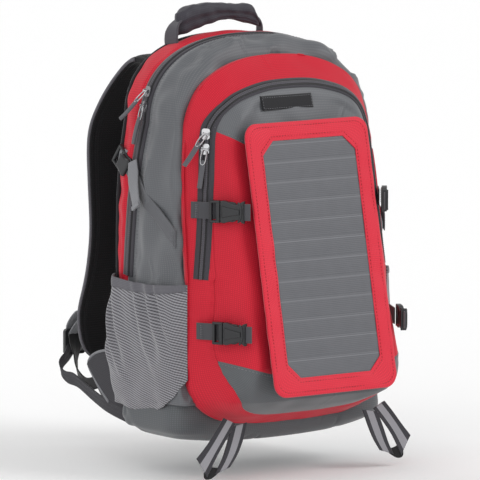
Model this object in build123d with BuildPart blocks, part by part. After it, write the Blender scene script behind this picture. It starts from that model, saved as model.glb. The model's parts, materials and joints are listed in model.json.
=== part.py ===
from build123d import *
import math
import os

# Solar backpack, in millimetres. The origin is the centre of the back pad's face, where the
# pack rests on its wearer. +Z is up, the front of the pack faces -Y, +X is the wearer's right.
# Heights are counted from the base and depths forward from the wearer's back: see up() and
# the -depth in each y.

# ---- Driving dimensions: the bag ----
height = 484.0              # base to crown
rest_height = 240.0         # origin above the base
half_width = 155.0          # of the main compartment, up to waist_height
shoulder_taper = 13.0
shoulder_half_width = half_width - shoulder_taper  # where the side turns into the arch
waist_height = 200.0
arch_rise = 99.0            # arch start to crown
arch_power = 2.4            # squareness of the arch
arch_start = height - arch_rise
arch_shares = (0.0, 0.45, 0.72, 0.88, 0.97)  # of its rise, where the loft has a section
crown_pull = 0.16           # the crown is this much shallower than the arch's foot
main_depth = 147.0          # wearer's back to the main front panel, low down
top_depth = 125.0           # the same at the start of the arch
corner_radius = 22.0
wall = 2.5                  # fabric with its foam and lining
pad_thickness = 12.0        # of the pad on the wearer's back
boot_height = 50.0          # the bottom panel comes this far up

# ---- Driving dimensions: the front compartment and its pocket ----
belly_height = 100.0        # the fullest height of the front compartment
belly_depth = 87.0          # it stands this far off the main front panel there
chest_depth = 51.0          # and this far at the start of the arch
front_bottom = 28.0         # height of its lowest edge
front_crown_drop = 13.0     # its crown below the pack's crown
step = 8.0                  # straight gusset between the seam and the sloping shoulder
seam_inset = 6.0            # its seam inside the main compartment's side
belly_slope = 43.0            # the face is this much narrower than the pack there
chest_slope = 46.0
belly_face_half_width = half_width - belly_slope
chest_face_half_width = shoulder_half_width - chest_slope
front_wall = 2.0

# ---- Driving dimensions: zips ----
tape_thickness = 1.2
coil_thickness = 2.0
coil_width = 7.0
main_tape_width = 22.0
main_zip_low_depth = 40.0   # depth of the main zip at waist_height
main_zip_top_depth = 65.0   # and at the crown
main_zip_end = 200.0        # height of its lower ends
front_tape_width = 14.0     # seen from the front
front_zip_insets = (18.0, 23.8)  # of its legs inside the pack's side, low and high
front_zip_low = (half_width - front_zip_insets[0], 195.0)   # half width, height of its ends
front_zip_high = (shoulder_half_width - front_zip_insets[1], arch_start + 1)  # leg to arch
front_zip_crown = height - 47
run_clearance = 0.8         # between a slider and its coil
main_slider_heights = (421.0, 403.0)
front_slider_heights = (377.0, 359.0)

# ---- Driving dimensions: solar panel ----
panel_width = 183.0
panel_height = 330.0
panel_corner = 16.0
panel_thickness = 3.2       # sewn fabric frame
panel_centre_height = 225.0
panel_standoff = 14.5       # frame's mid plane off the pocket face
window_width = 138.0
window_height = 286.0
window_chamfer = 16.0
cell_count = 12
cell_gap = 1.2
sheet_thickness = 1.2
box_size = (62.0, 34.0, 9.0)    # junction box

# ---- Driving dimensions: webbing and buckles ----
webbing = 20.0
webbing_thickness = 1.4
buckle_width = 27.0
buckle_thickness = 8.0
plug_body = 13.0
prong_length = 20.0
socket_length = 30.0
buckle_lift = 11.0          # buckle's middle off the shoulder
buckle_heights = (287.0, 143.0)
fit_gap = 0.4

# ---- Driving dimensions: carrying ----
strap_thickness = 13.0
strap_low_height = 79.0
strap_bow = 82.0            # pad behind the back at mid height
handle_half = 62.0
handle_rise = 15.0          # finger gap over the crown
handle_thickness = 17.0

os.makedirs("parts", exist_ok=True)


def up(h):
    """The z of a height above the base."""
    return h - rest_height


def save(builder, name):
    """Label a finished piece and write it to its own file."""
    builder.part.label = name
    export_step(builder.part, f"parts/{name}.step")


def turned(plane, angle):
    """A plane turned about its own normal."""
    spin = Axis((0, 0, 0), plane.z_dir)
    return Plane(origin=plane.origin, x_dir=plane.x_dir.rotate(spin, angle), z_dir=plane.z_dir)


def side(h):
    """Half width of the main compartment at a height below the arch."""
    if h <= waist_height:
        return half_width
    share = (h - waist_height) / (arch_start - waist_height)
    return half_width + (shoulder_half_width - half_width) * share


def main_front(h):
    """Depth of the main front panel at a height below the arch."""
    if h <= waist_height:
        return main_depth
    share = (h - waist_height) / (arch_start - waist_height)
    return main_depth + (top_depth - main_depth) * share



def main_sections(inset):
    """Heights, half widths, back and front depths of the main bag, drawn in by inset."""
    rows = []
    for h in (inset, waist_height, arch_start):
        rows.append((h, side(h) - inset, pad_thickness + inset, main_front(h) - inset))
    rise = arch_rise - inset
    for share in arch_shares[1:]:
        half = (shoulder_half_width - inset) * (1 - share**arch_power) ** (1 / arch_power)
        front = top_depth * (1 - crown_pull * share**4) - inset
        rows.append((arch_start + share * rise, half, pad_thickness + inset, front))
    return rows


def main_bag(inset, radius=corner_radius):
    """The solid bag, drawn in by inset: a loft through rounded rectangles."""
    with BuildPart() as bag:
        for h, half, back, front in main_sections(inset):
            with BuildSketch(Plane((0, -(back + front) / 2, up(h)))):
                RectangleRounded(2 * half, front - back, radius)
        loft(ruled=True)
    return bag


def front_sections(inset):
    """Height, seam half width, face half width and face depth of the front compartment."""
    crown = height - front_crown_drop
    return [
        (front_bottom + inset, half_width - 32 - inset, belly_face_half_width - 26 - inset,
         main_depth + 0.5 * belly_depth - inset),
        (belly_height - 42, half_width - seam_inset - inset, belly_face_half_width - 4 - inset,
         main_depth + belly_depth - 3 - inset),
        (belly_height, half_width - seam_inset - inset, belly_face_half_width - inset,
         main_depth + belly_depth - inset),
        (arch_start, shoulder_half_width - seam_inset - inset, chest_face_half_width - inset,
         top_depth + chest_depth - inset),
        (arch_start + 0.52 * arch_rise, 0.81 * (shoulder_half_width - seam_inset) - inset,
         0.69 * chest_face_half_width - inset, top_depth + 0.78 * chest_depth - inset),
        (crown - inset, 0.42 * shoulder_half_width - inset, 0.32 * chest_face_half_width - inset,
         top_depth + 0.2 * chest_depth - inset),
    ]


def front_bag(inset):
    """The solid front compartment, drawn in by inset; its back is buried in the main bag."""
    buried = 0.6 * top_depth
    with BuildPart() as bag:
        for h, seam, face, depth in front_sections(inset):
            foot = min(main_front(min(h, arch_start)) + step, depth - step)
            with BuildSketch(Plane.XY.offset(up(h))):
                with BuildLine():
                    Polyline((-seam, -buried), (-seam, -foot), (-face, -depth),
                             (face, -depth), (seam, -foot), (seam, -buried), close=True)
                make_face()
        loft(ruled=True)
    return bag


# ---- Main compartment: rear shell, front shell and boot, split at the zip ----
zip_slope = (main_zip_top_depth - main_zip_low_depth) / (height - waist_height)


def zip_depth(h):
    """Depth of the main zip's middle at a height."""
    return main_zip_low_depth + zip_slope * (h - waist_height)


zip_plane = Plane(origin=(0, -zip_depth(waist_height), up(waist_height)), x_dir=(1, 0, 0),
                  z_dir=(0, -1, -zip_slope))
outer_bag = main_bag(0)
inner_bag = main_bag(wall, corner_radius - wall)
boot_plane = Plane.XY.offset(up(boot_height))

with BuildPart() as rear_shell:
    add(outer_bag.part)
    add(inner_bag.part, mode=Mode.SUBTRACT)
    split(bisect_by=boot_plane, keep=Keep.TOP)
    split(bisect_by=zip_plane, keep=Keep.BOTTOM)
save(rear_shell, "rear_shell")

with BuildPart() as front_shell:
    add(outer_bag.part)
    add(inner_bag.part, mode=Mode.SUBTRACT)
    split(bisect_by=boot_plane, keep=Keep.TOP)
    split(bisect_by=zip_plane, keep=Keep.TOP)
save(front_shell, "front_shell")

with BuildPart() as bottom_panel:
    add(outer_bag.part)
    add(inner_bag.part, mode=Mode.SUBTRACT)
    split(bisect_by=boot_plane, keep=Keep.BOTTOM)
save(bottom_panel, "bottom_panel")

# The pad on the wearer's back: foam under spacer mesh, with an air channel down the middle.
pad_inset = 12.0
channel_width = 26.0
channel_depth = 6.0
with BuildPart() as back_pad:
    with BuildSketch(Plane.XZ) as pad_outline:
        with BuildLine():
            pad_half = shoulder_half_width - pad_inset
            pad_top = arch_start + 0.66 * arch_rise
            Polyline((-pad_half, up(pad_inset)), (pad_half, up(pad_inset)),
                     (pad_half, up(arch_start)), (0.62 * pad_half, up(pad_top)),
                     (-0.62 * pad_half, up(pad_top)), (-pad_half, up(arch_start)), close=True)
        make_face()
        fillet(pad_outline.vertices(), 18)
    extrude(amount=pad_thickness)
    rest_edges = back_pad.faces().sort_by(Axis.Y)[-1].edges()
    fillet(rest_edges, 4)
    with BuildSketch(Plane.XZ.offset(-1)):
        for end in (-1, 1):
            with Locations((0, up(rest_height + end * 125))):
                SlotOverall(150, channel_width, rotation=90)
    extrude(amount=channel_depth + 1, mode=Mode.SUBTRACT)
save(back_pad, "back_pad")

# A stiff sheet inside the back keeps its shape.
sheet_gap = 0.5
frame_thickness = 1.6
with BuildPart() as frame_sheet:
    with BuildSketch(Plane.XZ.offset(pad_thickness + wall + sheet_gap)):
        with Locations((0, up(0.47 * height))):
            RectangleRounded(2 * (shoulder_half_width - 34), 0.72 * height, 24)
    extrude(amount=frame_thickness)
save(frame_sheet, "frame_sheet")

# The laptop sleeve: a padded divider with sides and a floor, open at the top.
sleeve_depth = 26.0
sleeve_wall = 4.0
sleeve_back = pad_thickness + wall + 2 * sheet_gap + frame_thickness
with BuildPart() as laptop_sleeve:
    with BuildSketch(Plane.XZ.offset(sleeve_back)):
        with Locations((0, up(wall + 8 + 0.31 * height))):
            Rectangle(2 * (shoulder_half_width - 24), 0.62 * height)
    extrude(amount=sleeve_depth)
    with BuildSketch(Plane.XZ.offset(sleeve_back - 1)):
        with Locations((0, up(wall + 8 + 0.31 * height + sleeve_wall))):
            Rectangle(2 * (shoulder_half_width - 24 - sleeve_wall), 0.62 * height)
    extrude(amount=sleeve_depth - sleeve_wall + 1, mode=Mode.SUBTRACT)
save(laptop_sleeve, "laptop_sleeve")

# ---- Front compartment: outer band, and the pocket face inside the zip's arch ----
leg_slope = (front_zip_low[0] - front_zip_high[0]) / (front_zip_high[1] - front_zip_low[1])


def zip_half(h):
    """Half width of the front zip's middle line at a height on its leg."""
    return front_zip_high[0] + leg_slope * (front_zip_high[1] - h)


def arch_prism(grow, low):
    """Everything in front of the wearer inside the zip's arch, grown sideways by grow."""
    top = front_zip_crown + grow
    knee = front_zip_high[1]
    with BuildPart() as prism:
        with BuildSketch(Plane.XZ):
            with BuildLine():
                left = (-zip_half(low) - grow, up(low))
                knee_left = (-front_zip_high[0] - grow, up(knee))
                knee_right = (front_zip_high[0] + grow, up(knee))
                right = (zip_half(low) + grow, up(low))
                Polyline(knee_left, left, right, knee_right)
                ThreePointArc(knee_right, (0, up(top)), knee_left)
            make_face()
        extrude(amount=2 * main_depth)
    return prism


front_outer = front_bag(0)
front_inner = front_bag(front_wall)
pocket_prism = arch_prism(0, -20)

with BuildPart() as front_skin:
    add(front_outer.part)
    add(front_inner.part, mode=Mode.SUBTRACT)
    add(outer_bag.part, mode=Mode.SUBTRACT)

with BuildPart() as front_gusset:
    add(front_skin.part)
    add(pocket_prism.part, mode=Mode.SUBTRACT)
save(front_gusset, "front_gusset")

top_panel_height = 350.0
low_panel_height = 112.0
with BuildPart() as pocket_top:
    add(front_skin.part)
    add(pocket_prism.part, mode=Mode.INTERSECT)
    split(bisect_by=Plane.XY.offset(up(top_panel_height)), keep=Keep.TOP)
save(pocket_top, "pocket_top_panel")

with BuildPart() as pocket_face:
    add(front_skin.part)
    add(pocket_prism.part, mode=Mode.INTERSECT)
    split(bisect_by=Plane.XY.offset(up(top_panel_height)), keep=Keep.BOTTOM)
    split(bisect_by=Plane.XY.offset(up(low_panel_height)), keep=Keep.TOP)
save(pocket_face, "pocket_face_panel")

with BuildPart() as pocket_low:
    add(front_skin.part)
    add(pocket_prism.part, mode=Mode.INTERSECT)
    split(bisect_by=Plane.XY.offset(up(low_panel_height)), keep=Keep.BOTTOM)
save(pocket_low, "pocket_low_panel")


# ---- Zips: a tape lying on the shell, a coil on the tape ----
def on_shell(skin, over, under, cutter):
    """The layer between two insets of a bag, kept inside a cutter."""
    with BuildPart() as layer:
        add(skin(over).part)
        add(skin(under).part, mode=Mode.SUBTRACT)
        add(cutter.part, mode=Mode.INTERSECT)
    return layer


def zip_slab(width):
    """A slab of a width about the main zip's plane, above the zip's lower ends."""
    with BuildPart() as slab:
        with BuildSketch(zip_plane.offset(-width / 2)):
            Rectangle(4 * half_width, 4 * height)
        extrude(amount=width)
        split(bisect_by=Plane.XY.offset(up(main_zip_end)), keep=Keep.TOP)
    return slab


def arch_band(width):
    """A ring of a width about the front zip's arch, above its lower ends."""
    with BuildPart() as ring:
        add(arch_prism(width / 2, front_zip_low[1]).part)
        add(arch_prism(-width / 2, 0).part, mode=Mode.SUBTRACT)
        split(bisect_by=Plane.XY.offset(up(front_zip_low[1])), keep=Keep.TOP)
    return ring


coil_top = tape_thickness + coil_thickness
save(on_shell(main_bag, -tape_thickness, 0, zip_slab(main_tape_width)), "main_zip_tape")
save(on_shell(main_bag, -coil_top, -tape_thickness, zip_slab(coil_width)), "main_zip_coil")
save(on_shell(front_bag, -tape_thickness, 0, arch_band(front_tape_width)), "front_zip_tape")
save(on_shell(front_bag, -coil_top, -tape_thickness, arch_band(0.7 * coil_width)),
     "front_zip_coil")

# ---- Zip sliders and their pulls, on the left legs of both zips ----
slider_length = 13.0
slider_width = 10.0
plate = 1.6
bar_radius = 1.1
eye_radius = 2.6
eye_gap = 0.35
pull_length = 40.0
pull_width = 7.0
pull_swing = {"main": {"upper": 28, "lower": -1},  # degrees that each pull hangs to the back
              "front": {"upper": 31, "lower": 6}}
pull_lift = {"upper": 20, "lower": 1}    # and stands off the fabric
slider_travel = 45.0


def main_leg(h):
    """A plane on the main zip's coil low in the arch: x up the zip, z out of the bag."""
    low, high = (row[0] for row in main_sections(0)[2:4])
    low_half, high_half = (row[1] for row in main_sections(0)[2:4])
    foot = Vector(-low_half, -zip_depth(low), up(low))
    head = Vector(-high_half, -zip_depth(high), up(high))
    run = head - foot
    out = Vector(0, 1, 0).cross(run).normalized()
    out = out if out.X < 0 else out * -1
    return Plane(origin=foot + run * ((h - low) / (high - low)), x_dir=run, z_dir=out)


def shoulder(h):
    """Foot and head of the front compartment's left sloping shoulder at a height."""
    low, high = front_sections(0)[2], front_sections(0)[3]
    share = (h - low[0]) / (high[0] - low[0])
    seam, face, depth = (low[i] + (high[i] - low[i]) * share for i in (1, 2, 3))
    low_foot, high_foot = main_front(low[0]) + step, main_front(high[0]) + step
    foot = low_foot + (high_foot - low_foot) * share
    return Vector(-seam, -foot, up(h)), Vector(-face, -depth, up(h))


def leg_point(h):
    """The point of the left shoulder under the front zip's middle line at a height."""
    foot, head = shoulder(h)
    return foot + (head - foot) * ((-zip_half(h) - foot.X) / (head.X - foot.X))


def front_leg(h):
    """A plane on the front zip's coil at a height: x up the zip, z out of the bag."""
    run = leg_point(h) - leg_point(h - slider_travel)
    foot, head = shoulder(h)
    out = (head - foot).cross(run).normalized()
    out = out if out.Y < 0 else out * -1
    return Plane(origin=leg_point(h), x_dir=run, z_dir=out)


def zip_slider(plane):
    """A slider over the coil: a plate, two cheeks and the bar that carries the pull."""
    base = coil_top + run_clearance
    bar_height = base + plate + eye_radius + 0.6
    with BuildPart() as slider:
        with BuildSketch(plane.offset(base)):
            RectangleRounded(slider_length, slider_width, 3)
        extrude(amount=plate)
        with BuildSketch(plane.offset(base + plate)):
            with Locations((0, 0.35 * slider_width), (0, -0.35 * slider_width)):
                RectangleRounded(5, 1.4, 0.6)
        extrude(amount=eye_radius + 0.6)
        bar_plane = Plane(origin=plane.from_local_coords(Vector(0, 0, bar_height)),
                          x_dir=plane.x_dir, z_dir=plane.y_dir)
        with BuildSketch(bar_plane.offset(-0.35 * slider_width - 0.7)):
            Circle(bar_radius)
        extrude(amount=0.7 * slider_width + 1.4)
    return slider, bar_plane


def zip_pull(bar_plane, swing, lift):
    """A pull hanging from the bar: a wire eye and a flat cord tab. The tab is swung to the
    back and lifted off the fabric by the angles given."""
    eye_width = 0.7 * slider_width - 1.4 - 2 * eye_gap
    knuckle = eye_radius + 3.4
    raised = turned(bar_plane, lift)
    with BuildPart() as pull:
        with BuildSketch(raised.offset(-eye_width / 2)):
            Circle(eye_radius)
            Circle(bar_radius + eye_gap, mode=Mode.SUBTRACT)
            with Locations((-eye_radius - 1.9, 0)):
                RectangleRounded(5, 1.8, 0.6)
        extrude(amount=eye_width)
        flat = turned(Plane(origin=raised.from_local_coords(Vector(-knuckle, 0, 0)),
                            x_dir=raised.x_dir * -1, z_dir=raised.y_dir * -1), -swing)
        with BuildSketch(flat.offset(-0.9)):
            with Locations((pull_length / 2, 0)):
                RectangleRounded(pull_length + 2, pull_width, 1.5)
        extrude(amount=1.8)
    return pull


for zip_name, leg, levels in (("main", main_leg, main_slider_heights),
                              ("front", front_leg, front_slider_heights)):
    for place, level in zip(("upper", "lower"), levels):
        slider, bar_plane = zip_slider(leg(level))
        save(slider, f"{zip_name}_slider_{place}")
        save(zip_pull(bar_plane, pull_swing[zip_name][place], pull_lift[place]),
             f"{zip_name}_pull_{place}")
        print(f"{zip_name} {place} bar {tuple(bar_plane.origin)} run {tuple(leg(level).x_dir)}",
              f"turn {tuple(bar_plane.z_dir)}")

# ---- Mesh side pockets with an elastic band at the mouth ----
pocket_height = 190.0
pocket_floor = 54.0
pocket_bulge = 16.0
pocket_mouth = 11.0         # the band stands this far off the side
mesh_thickness = 1.6
band_height = 11.0
band_thickness = 2.4
pocket_back = 20.0          # depth of its back seam
pocket_front = main_depth - 2


def pocket_solid(inset, floor):
    """The left pocket's outer form, drawn in by inset."""
    rows = ((pocket_floor, 3.0), (pocket_floor + 34, pocket_bulge), (pocket_height - 42, 15.0),
            (pocket_height, pocket_mouth))
    with BuildPart() as form:
        for h, out in rows:
            with BuildSketch(Plane.XY.offset(up(max(h, floor)))):
                with BuildLine():
                    x = -half_width - out + inset
                    Polyline((-half_width + 4, -pocket_back - inset),
                             (x, -pocket_back - 10 - inset), (x, -pocket_front + 10 + inset),
                             (-half_width + 4, -pocket_front + inset), close=True)
                make_face()
        loft(ruled=True)
    return form


def pocket_shell(inset, thickness):
    """The pocket's wall between two insets, cut off the bag's side."""
    with BuildPart() as shell:
        add(pocket_solid(inset, 0).part)
        add(pocket_solid(inset + thickness, pocket_floor + mesh_thickness).part,
            mode=Mode.SUBTRACT)
        add(outer_bag.part, mode=Mode.SUBTRACT)
    return shell


left_pocket = pocket_shell(0, mesh_thickness)
with BuildPart() as left_mesh:
    add(left_pocket.part)
    split(bisect_by=Plane.XY.offset(up(pocket_height - band_height)), keep=Keep.BOTTOM)
with BuildPart() as left_band:
    add(pocket_shell(-0.6, band_thickness).part)
    split(bisect_by=Plane.XY.offset(up(pocket_height - band_height)), keep=Keep.TOP)


def save_pair(left, name):
    """Write a left-hand piece and its mirror image."""
    save(left, f"{name}_left")
    with BuildPart() as right:
        add(mirror(left.part, about=Plane.YZ))
    save(right, f"{name}_right")


save_pair(left_mesh, "mesh_pocket")
with BuildPart() as pocket_bands:
    add(left_band.part)
    add(mirror(left_band.part, about=Plane.YZ))
save(pocket_bands, "pocket_bands")

# ---- Solar panel: fabric frame, cell sheet, backing and junction box ----
face_tilt = math.degrees(math.atan((main_front(belly_height) + belly_depth - top_depth
                                    - chest_depth) / (arch_start - belly_height)))
lean = math.radians(face_tilt)
panel_out = Vector(0, -math.cos(lean), math.sin(lean))
face_low, face_high = front_sections(0)[2], front_sections(0)[3]
face_share = (panel_centre_height - face_low[0]) / (face_high[0] - face_low[0])
face_depth = face_low[3] + (face_high[3] - face_low[3]) * face_share
panel_plane = Plane(origin=Vector(0, -face_depth, up(panel_centre_height))
                    + panel_out * panel_standoff, x_dir=(1, 0, 0), z_dir=panel_out)

with BuildPart() as panel_frame:
    with BuildSketch(panel_plane.offset(-panel_thickness / 2)):
        RectangleRounded(panel_width, panel_height, panel_corner)
    extrude(amount=panel_thickness)
    with BuildSketch(panel_plane.offset(-panel_thickness / 2)) as window:
        Rectangle(window_width, window_height)
        chamfer(window.vertices(), window_chamfer)
    extrude(amount=panel_thickness, mode=Mode.SUBTRACT)
save(panel_frame, "panel_frame")

with BuildPart() as cell_sheet:
    with BuildSketch(panel_plane.offset(panel_thickness / 2 - 0.6 - sheet_thickness)) as sheet:
        Rectangle(window_width, window_height)
        chamfer(sheet.vertices(), window_chamfer)
    extrude(amount=sheet_thickness)
save(cell_sheet, "cover_sheet")

# Twelve cells in series under the clear sheet.
cell_thickness = 0.5
cell_pitch = (window_height - 2 * cell_gap) / cell_count
with BuildPart() as solar_cells:
    with BuildSketch(panel_plane.offset(panel_thickness / 2 - 0.6 - sheet_thickness
                                        - cell_thickness)):
        with GridLocations(0, cell_pitch, 1, cell_count):
            Rectangle(window_width - 2 * window_chamfer - 2 * cell_gap, cell_pitch - cell_gap)
    extrude(amount=cell_thickness)
save(solar_cells, "solar_cells")

backing_thickness = 1.2
with BuildPart() as panel_backing:
    with BuildSketch(panel_plane.offset(-panel_thickness / 2 - backing_thickness)):
        RectangleRounded(panel_width - 8, panel_height - 8, panel_corner - 4)
    extrude(amount=backing_thickness)
save(panel_backing, "panel_backing")

# The junction box holds the regulator and the USB outlet that the lead plugs into.
usb_size = (13.4, 6.6, 8.0)
box_face = panel_plane.offset(-panel_thickness / 2 - backing_thickness)
box_place = (0, 0.28 * panel_height)
with BuildPart() as junction_box:
    with BuildSketch(box_face):
        with Locations(box_place):
            RectangleRounded(box_size[0], box_size[1], 5)
    extrude(amount=-box_size[2])
    outlet_plane = Plane(origin=box_face.from_local_coords(
        Vector(box_place[0], box_place[1] - box_size[1] / 2, -box_size[2] / 2)),
        x_dir=(1, 0, 0), z_dir=box_face.y_dir)
    with BuildSketch(outlet_plane):
        Rectangle(usb_size[0], usb_size[1])
    extrude(amount=usb_size[2], mode=Mode.SUBTRACT)
save(junction_box, "junction_box")

# ---- Side-release buckles: plug on the pack's tab, socket on the panel's tab ----
buckle_shift = 20.0         # the buckle's middle past the middle of the shoulder
head_width = 2.1
mouth_wall = 1.1
prong_width = 4.0
tongue_width = 6.0
inner_height = buckle_thickness - 3.0


def buckle_plane(h):
    """A plane in the buckle's middle: x from the plug to the socket, z out of the pack."""
    foot, head = shoulder(h)
    run = (head - foot).normalized()
    out = Vector(run.Y, -run.X, 0)
    out = out if out.Y < 0 else out * -1
    middle = (foot + head) * 0.5 + run * buckle_shift + out * buckle_lift
    return Plane(origin=middle, x_dir=run, z_dir=out)


def mouth():
    """Where the plug's body meets the socket's mouth, along the buckle."""
    return (plug_body - socket_length) / 2


def buckle_plug(plane):
    """The plug: a ladder end for the webbing, a tongue and two sprung prongs."""
    with BuildPart() as plug:
        with BuildSketch(plane.offset(-buckle_thickness / 2)) as body:
            with Locations((mouth() - fit_gap - plug_body / 2, 0)):
                RectangleRounded(plug_body, buckle_width, 2.5)
                Rectangle(3.4, webbing + 1, mode=Mode.SUBTRACT)
        extrude(amount=buckle_thickness)
        with BuildSketch(plane.offset(-inner_height / 2 + fit_gap)):
            start = mouth() - fit_gap - 2
            with Locations((start + prong_length / 2, 0)):
                Rectangle(prong_length, tongue_width)
            for lean_side in (-1, 1):
                y = lean_side * (buckle_width / 2 - 3.6 - prong_width / 2)
                with Locations((start + prong_length / 2, y)):
                    Rectangle(prong_length, prong_width)
                with Locations((start + prong_length - 5, y + lean_side * head_width / 2)):
                    RectangleRounded(9, prong_width + head_width, 1.4)
        extrude(amount=inner_height - 2 * fit_gap)
    return plug


def buckle_socket(plane):
    """The socket: a hollow shell with side windows for the prongs and a webbing bar."""
    with BuildPart() as socket:
        with BuildSketch(plane.offset(-buckle_thickness / 2)):
            with Locations((mouth() + socket_length / 2, 0)):
                RectangleRounded(socket_length, buckle_width, 2.5)
        extrude(amount=buckle_thickness)
        with BuildSketch(plane.offset(-inner_height / 2)):
            depth = prong_length - 1
            with Locations((mouth() + depth / 2 - 1, 0)):
                Rectangle(depth + 2, buckle_width - 2 * mouth_wall)
            with Locations((mouth() + prong_length - 7, 0)):
                Rectangle(11, buckle_width + 2)
        extrude(amount=inner_height, mode=Mode.SUBTRACT)
        with BuildSketch(plane.offset(-buckle_thickness / 2)):
            with Locations((mouth() + socket_length - 4.4, 0)):
                Rectangle(3.2, webbing + 1)
        extrude(amount=buckle_thickness, mode=Mode.SUBTRACT)
    return socket


def webbing_tab(plane, start, end, low):
    """A flat strip along the buckle's line from start to end, its underside at low."""
    with BuildPart() as tab:
        with BuildSketch(plane.offset(low)):
            with Locations(((start + end) / 2, 0)):
                Rectangle(end - start, webbing)
        extrude(amount=webbing_thickness)
    return tab


def both_sides(left):
    """A left-hand piece and its mirror image, as two builders."""
    with BuildPart() as right:
        add(mirror(left.part, about=Plane.YZ))
    return (("left", left), ("right", right))


tab_start = -46.0           # the pack's tab, from its sewn end
tab_lift = coil_top + 1.6 - buckle_lift
pack_tabs = []
panel_tabs = []
for row, h in zip(("upper", "lower"), buckle_heights):
    plane = buckle_plane(h)
    for hand, piece in both_sides(buckle_plug(plane)):
        save(piece, f"buckle_plug_{row}_{hand}")
    for hand, piece in both_sides(buckle_socket(plane)):
        save(piece, f"buckle_socket_{row}_{hand}")
    pack_tabs.append(webbing_tab(plane, tab_start, mouth() - 2, tab_lift))
    bar = mouth() + socket_length + 0.3
    panel_tabs.append(webbing_tab(plane, bar, bar + 9, -webbing_thickness / 2))
    print(f"buckle {row} middle {tuple(plane.origin)} run {tuple(plane.x_dir)}")

for name, tabs in (("pack_tabs", pack_tabs), ("panel_tabs", panel_tabs)):
    with BuildPart() as group:
        for tab in tabs:
            add(tab.part)
            add(mirror(tab.part, about=Plane.YZ))
    save(group, name)

# ---- A blank woven patch over the panel ----
patch_width = 76.0
patch_height = 17.0
patch_drop = 73.0           # its middle below the crown
patch_height_above = height - patch_drop
patch_x = -12.0
patch_low = front_sections(0)[3]
patch_high = front_sections(0)[4]
patch_share = (patch_height_above - patch_low[0]) / (patch_high[0] - patch_low[0])
patch_depth = patch_low[3] + (patch_high[3] - patch_low[3]) * patch_share
patch_out = Vector(0, -(patch_high[0] - patch_low[0]), patch_low[3] - patch_high[3])
patch_plane = Plane(origin=(patch_x, -patch_depth, up(patch_height_above)), x_dir=(1, 0, 0),
                    z_dir=patch_out)
with BuildPart() as blank_patch:
    with BuildSketch(patch_plane.offset(0.1)):
        RectangleRounded(patch_width, patch_height, 1.5)
    extrude(amount=1.4)
save(blank_patch, "blank_patch")

# ---- Compression straps: a lever buckle at the back edge, webbing sewn to the front seam ----
lever_height = 336.0        # middle of the buckle
lever_depth = 24.0
lever_size = (30.0, webbing + 5, 4.0)
lever_slot = 4.0
sewn_height = 252.0         # where the webbing meets the front seam
strap_gap = coil_top + 0.8


def side_plane(h, depth, drop):
    """A plane on the left side at a height and depth; x runs forward, down by drop degrees."""
    out = Vector(-(arch_start - waist_height), 0, half_width - shoulder_half_width).normalized()
    return turned(Plane(origin=(-side(h), -depth, up(h)), x_dir=(0, -1, 0), z_dir=out), -drop)


strap_run = math.hypot(lever_height - sewn_height, main_front(sewn_height) - lever_depth)
strap_drop = math.degrees(math.atan2(lever_height - sewn_height,
                                     main_front(sewn_height) - lever_depth))
lever_plane = side_plane(lever_height, lever_depth, strap_drop)
with BuildPart() as lever:
    with BuildSketch(lever_plane.offset(strap_gap + 0.4)):
        RectangleRounded(lever_size[0], lever_size[1], 3)
        with Locations((0.22 * lever_size[0], 0), (-0.22 * lever_size[0], 0)):
            Rectangle(lever_slot, webbing + 1, mode=Mode.SUBTRACT)
    extrude(amount=lever_size[2])
save_pair(lever, "lever_buckle")
with BuildPart() as compression:
    with BuildSketch(lever_plane.offset(strap_gap)):
        start = lever_size[0] / 2 + 1.5
        end = strap_run - 9
        with Locations(((start + end) / 2, 0)):
            Rectangle(end - start, webbing)
    extrude(amount=webbing_thickness)
save_pair(compression, "compression_strap")
print(f"lever middle {tuple(lever_plane.origin)} axis {tuple(lever_plane.y_dir)}")

# ---- Shoulder straps: foam pads sewn in at the top, a ladder lock at the lower end ----
strap_lift = strap_bow + 12   # the lower end stands further behind the back
strap_route = [(-8, height - 25), (30, height - 22), (54, height - 44), (70, height - 84),
               (strap_bow, height - 139), (strap_bow - 5, 250), (strap_bow, 196),
               (strap_lift, 148), (strap_lift + 3, 116), (strap_lift + 1, strap_low_height)]
strap_edge = half_width - 155  # the pads move in and out with the pack's side
strap_outer = [(-96, height - 9), (-104, height - 44), (-126, height - 109), (-129, 300),
               (-129, 230), (-131, 170), (-134, 130), (-128, 92), (-118, strap_low_height - 3)]
strap_inner = [(-98, strap_low_height - 3), (-92, 100), (-84, 150), (-70, 220), (-62, 300),
               (-58, height - 109), (-40, height - 44), (-32, height - 9)]


def beside(route, offset):
    """A route's points moved sideways by an offset, each square to its neighbours' line."""
    moved = []
    for i, (y, h) in enumerate(route):
        before, after = route[max(i - 1, 0)], route[min(i + 1, len(route) - 1)]
        across = Vector(before[1] - after[1], after[0] - before[0]).normalized()
        moved.append((y + across.X * offset, up(h + across.Y * offset)))
    return moved


with BuildPart() as strap:
    with BuildSketch(Plane.YZ.offset(-half_width)):
        with BuildLine():
            front_side = Spline(*beside(strap_route, strap_thickness / 2))
            back_side = Spline(*beside(strap_route, -strap_thickness / 2))
            Line(front_side @ 0, back_side @ 0)
            Line(front_side @ 1, back_side @ 1)
        make_face()
    extrude(amount=half_width)
    with BuildSketch(Plane.XZ.offset(-2 * strap_bow)):
        with BuildLine():
            Polyline(*[(x - strap_edge, up(h)) for x, h in strap_outer + strap_inner],
                     close=True)
        make_face()
    extrude(amount=4 * strap_bow, mode=Mode.INTERSECT)
save_pair(strap, "shoulder_strap")

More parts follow.
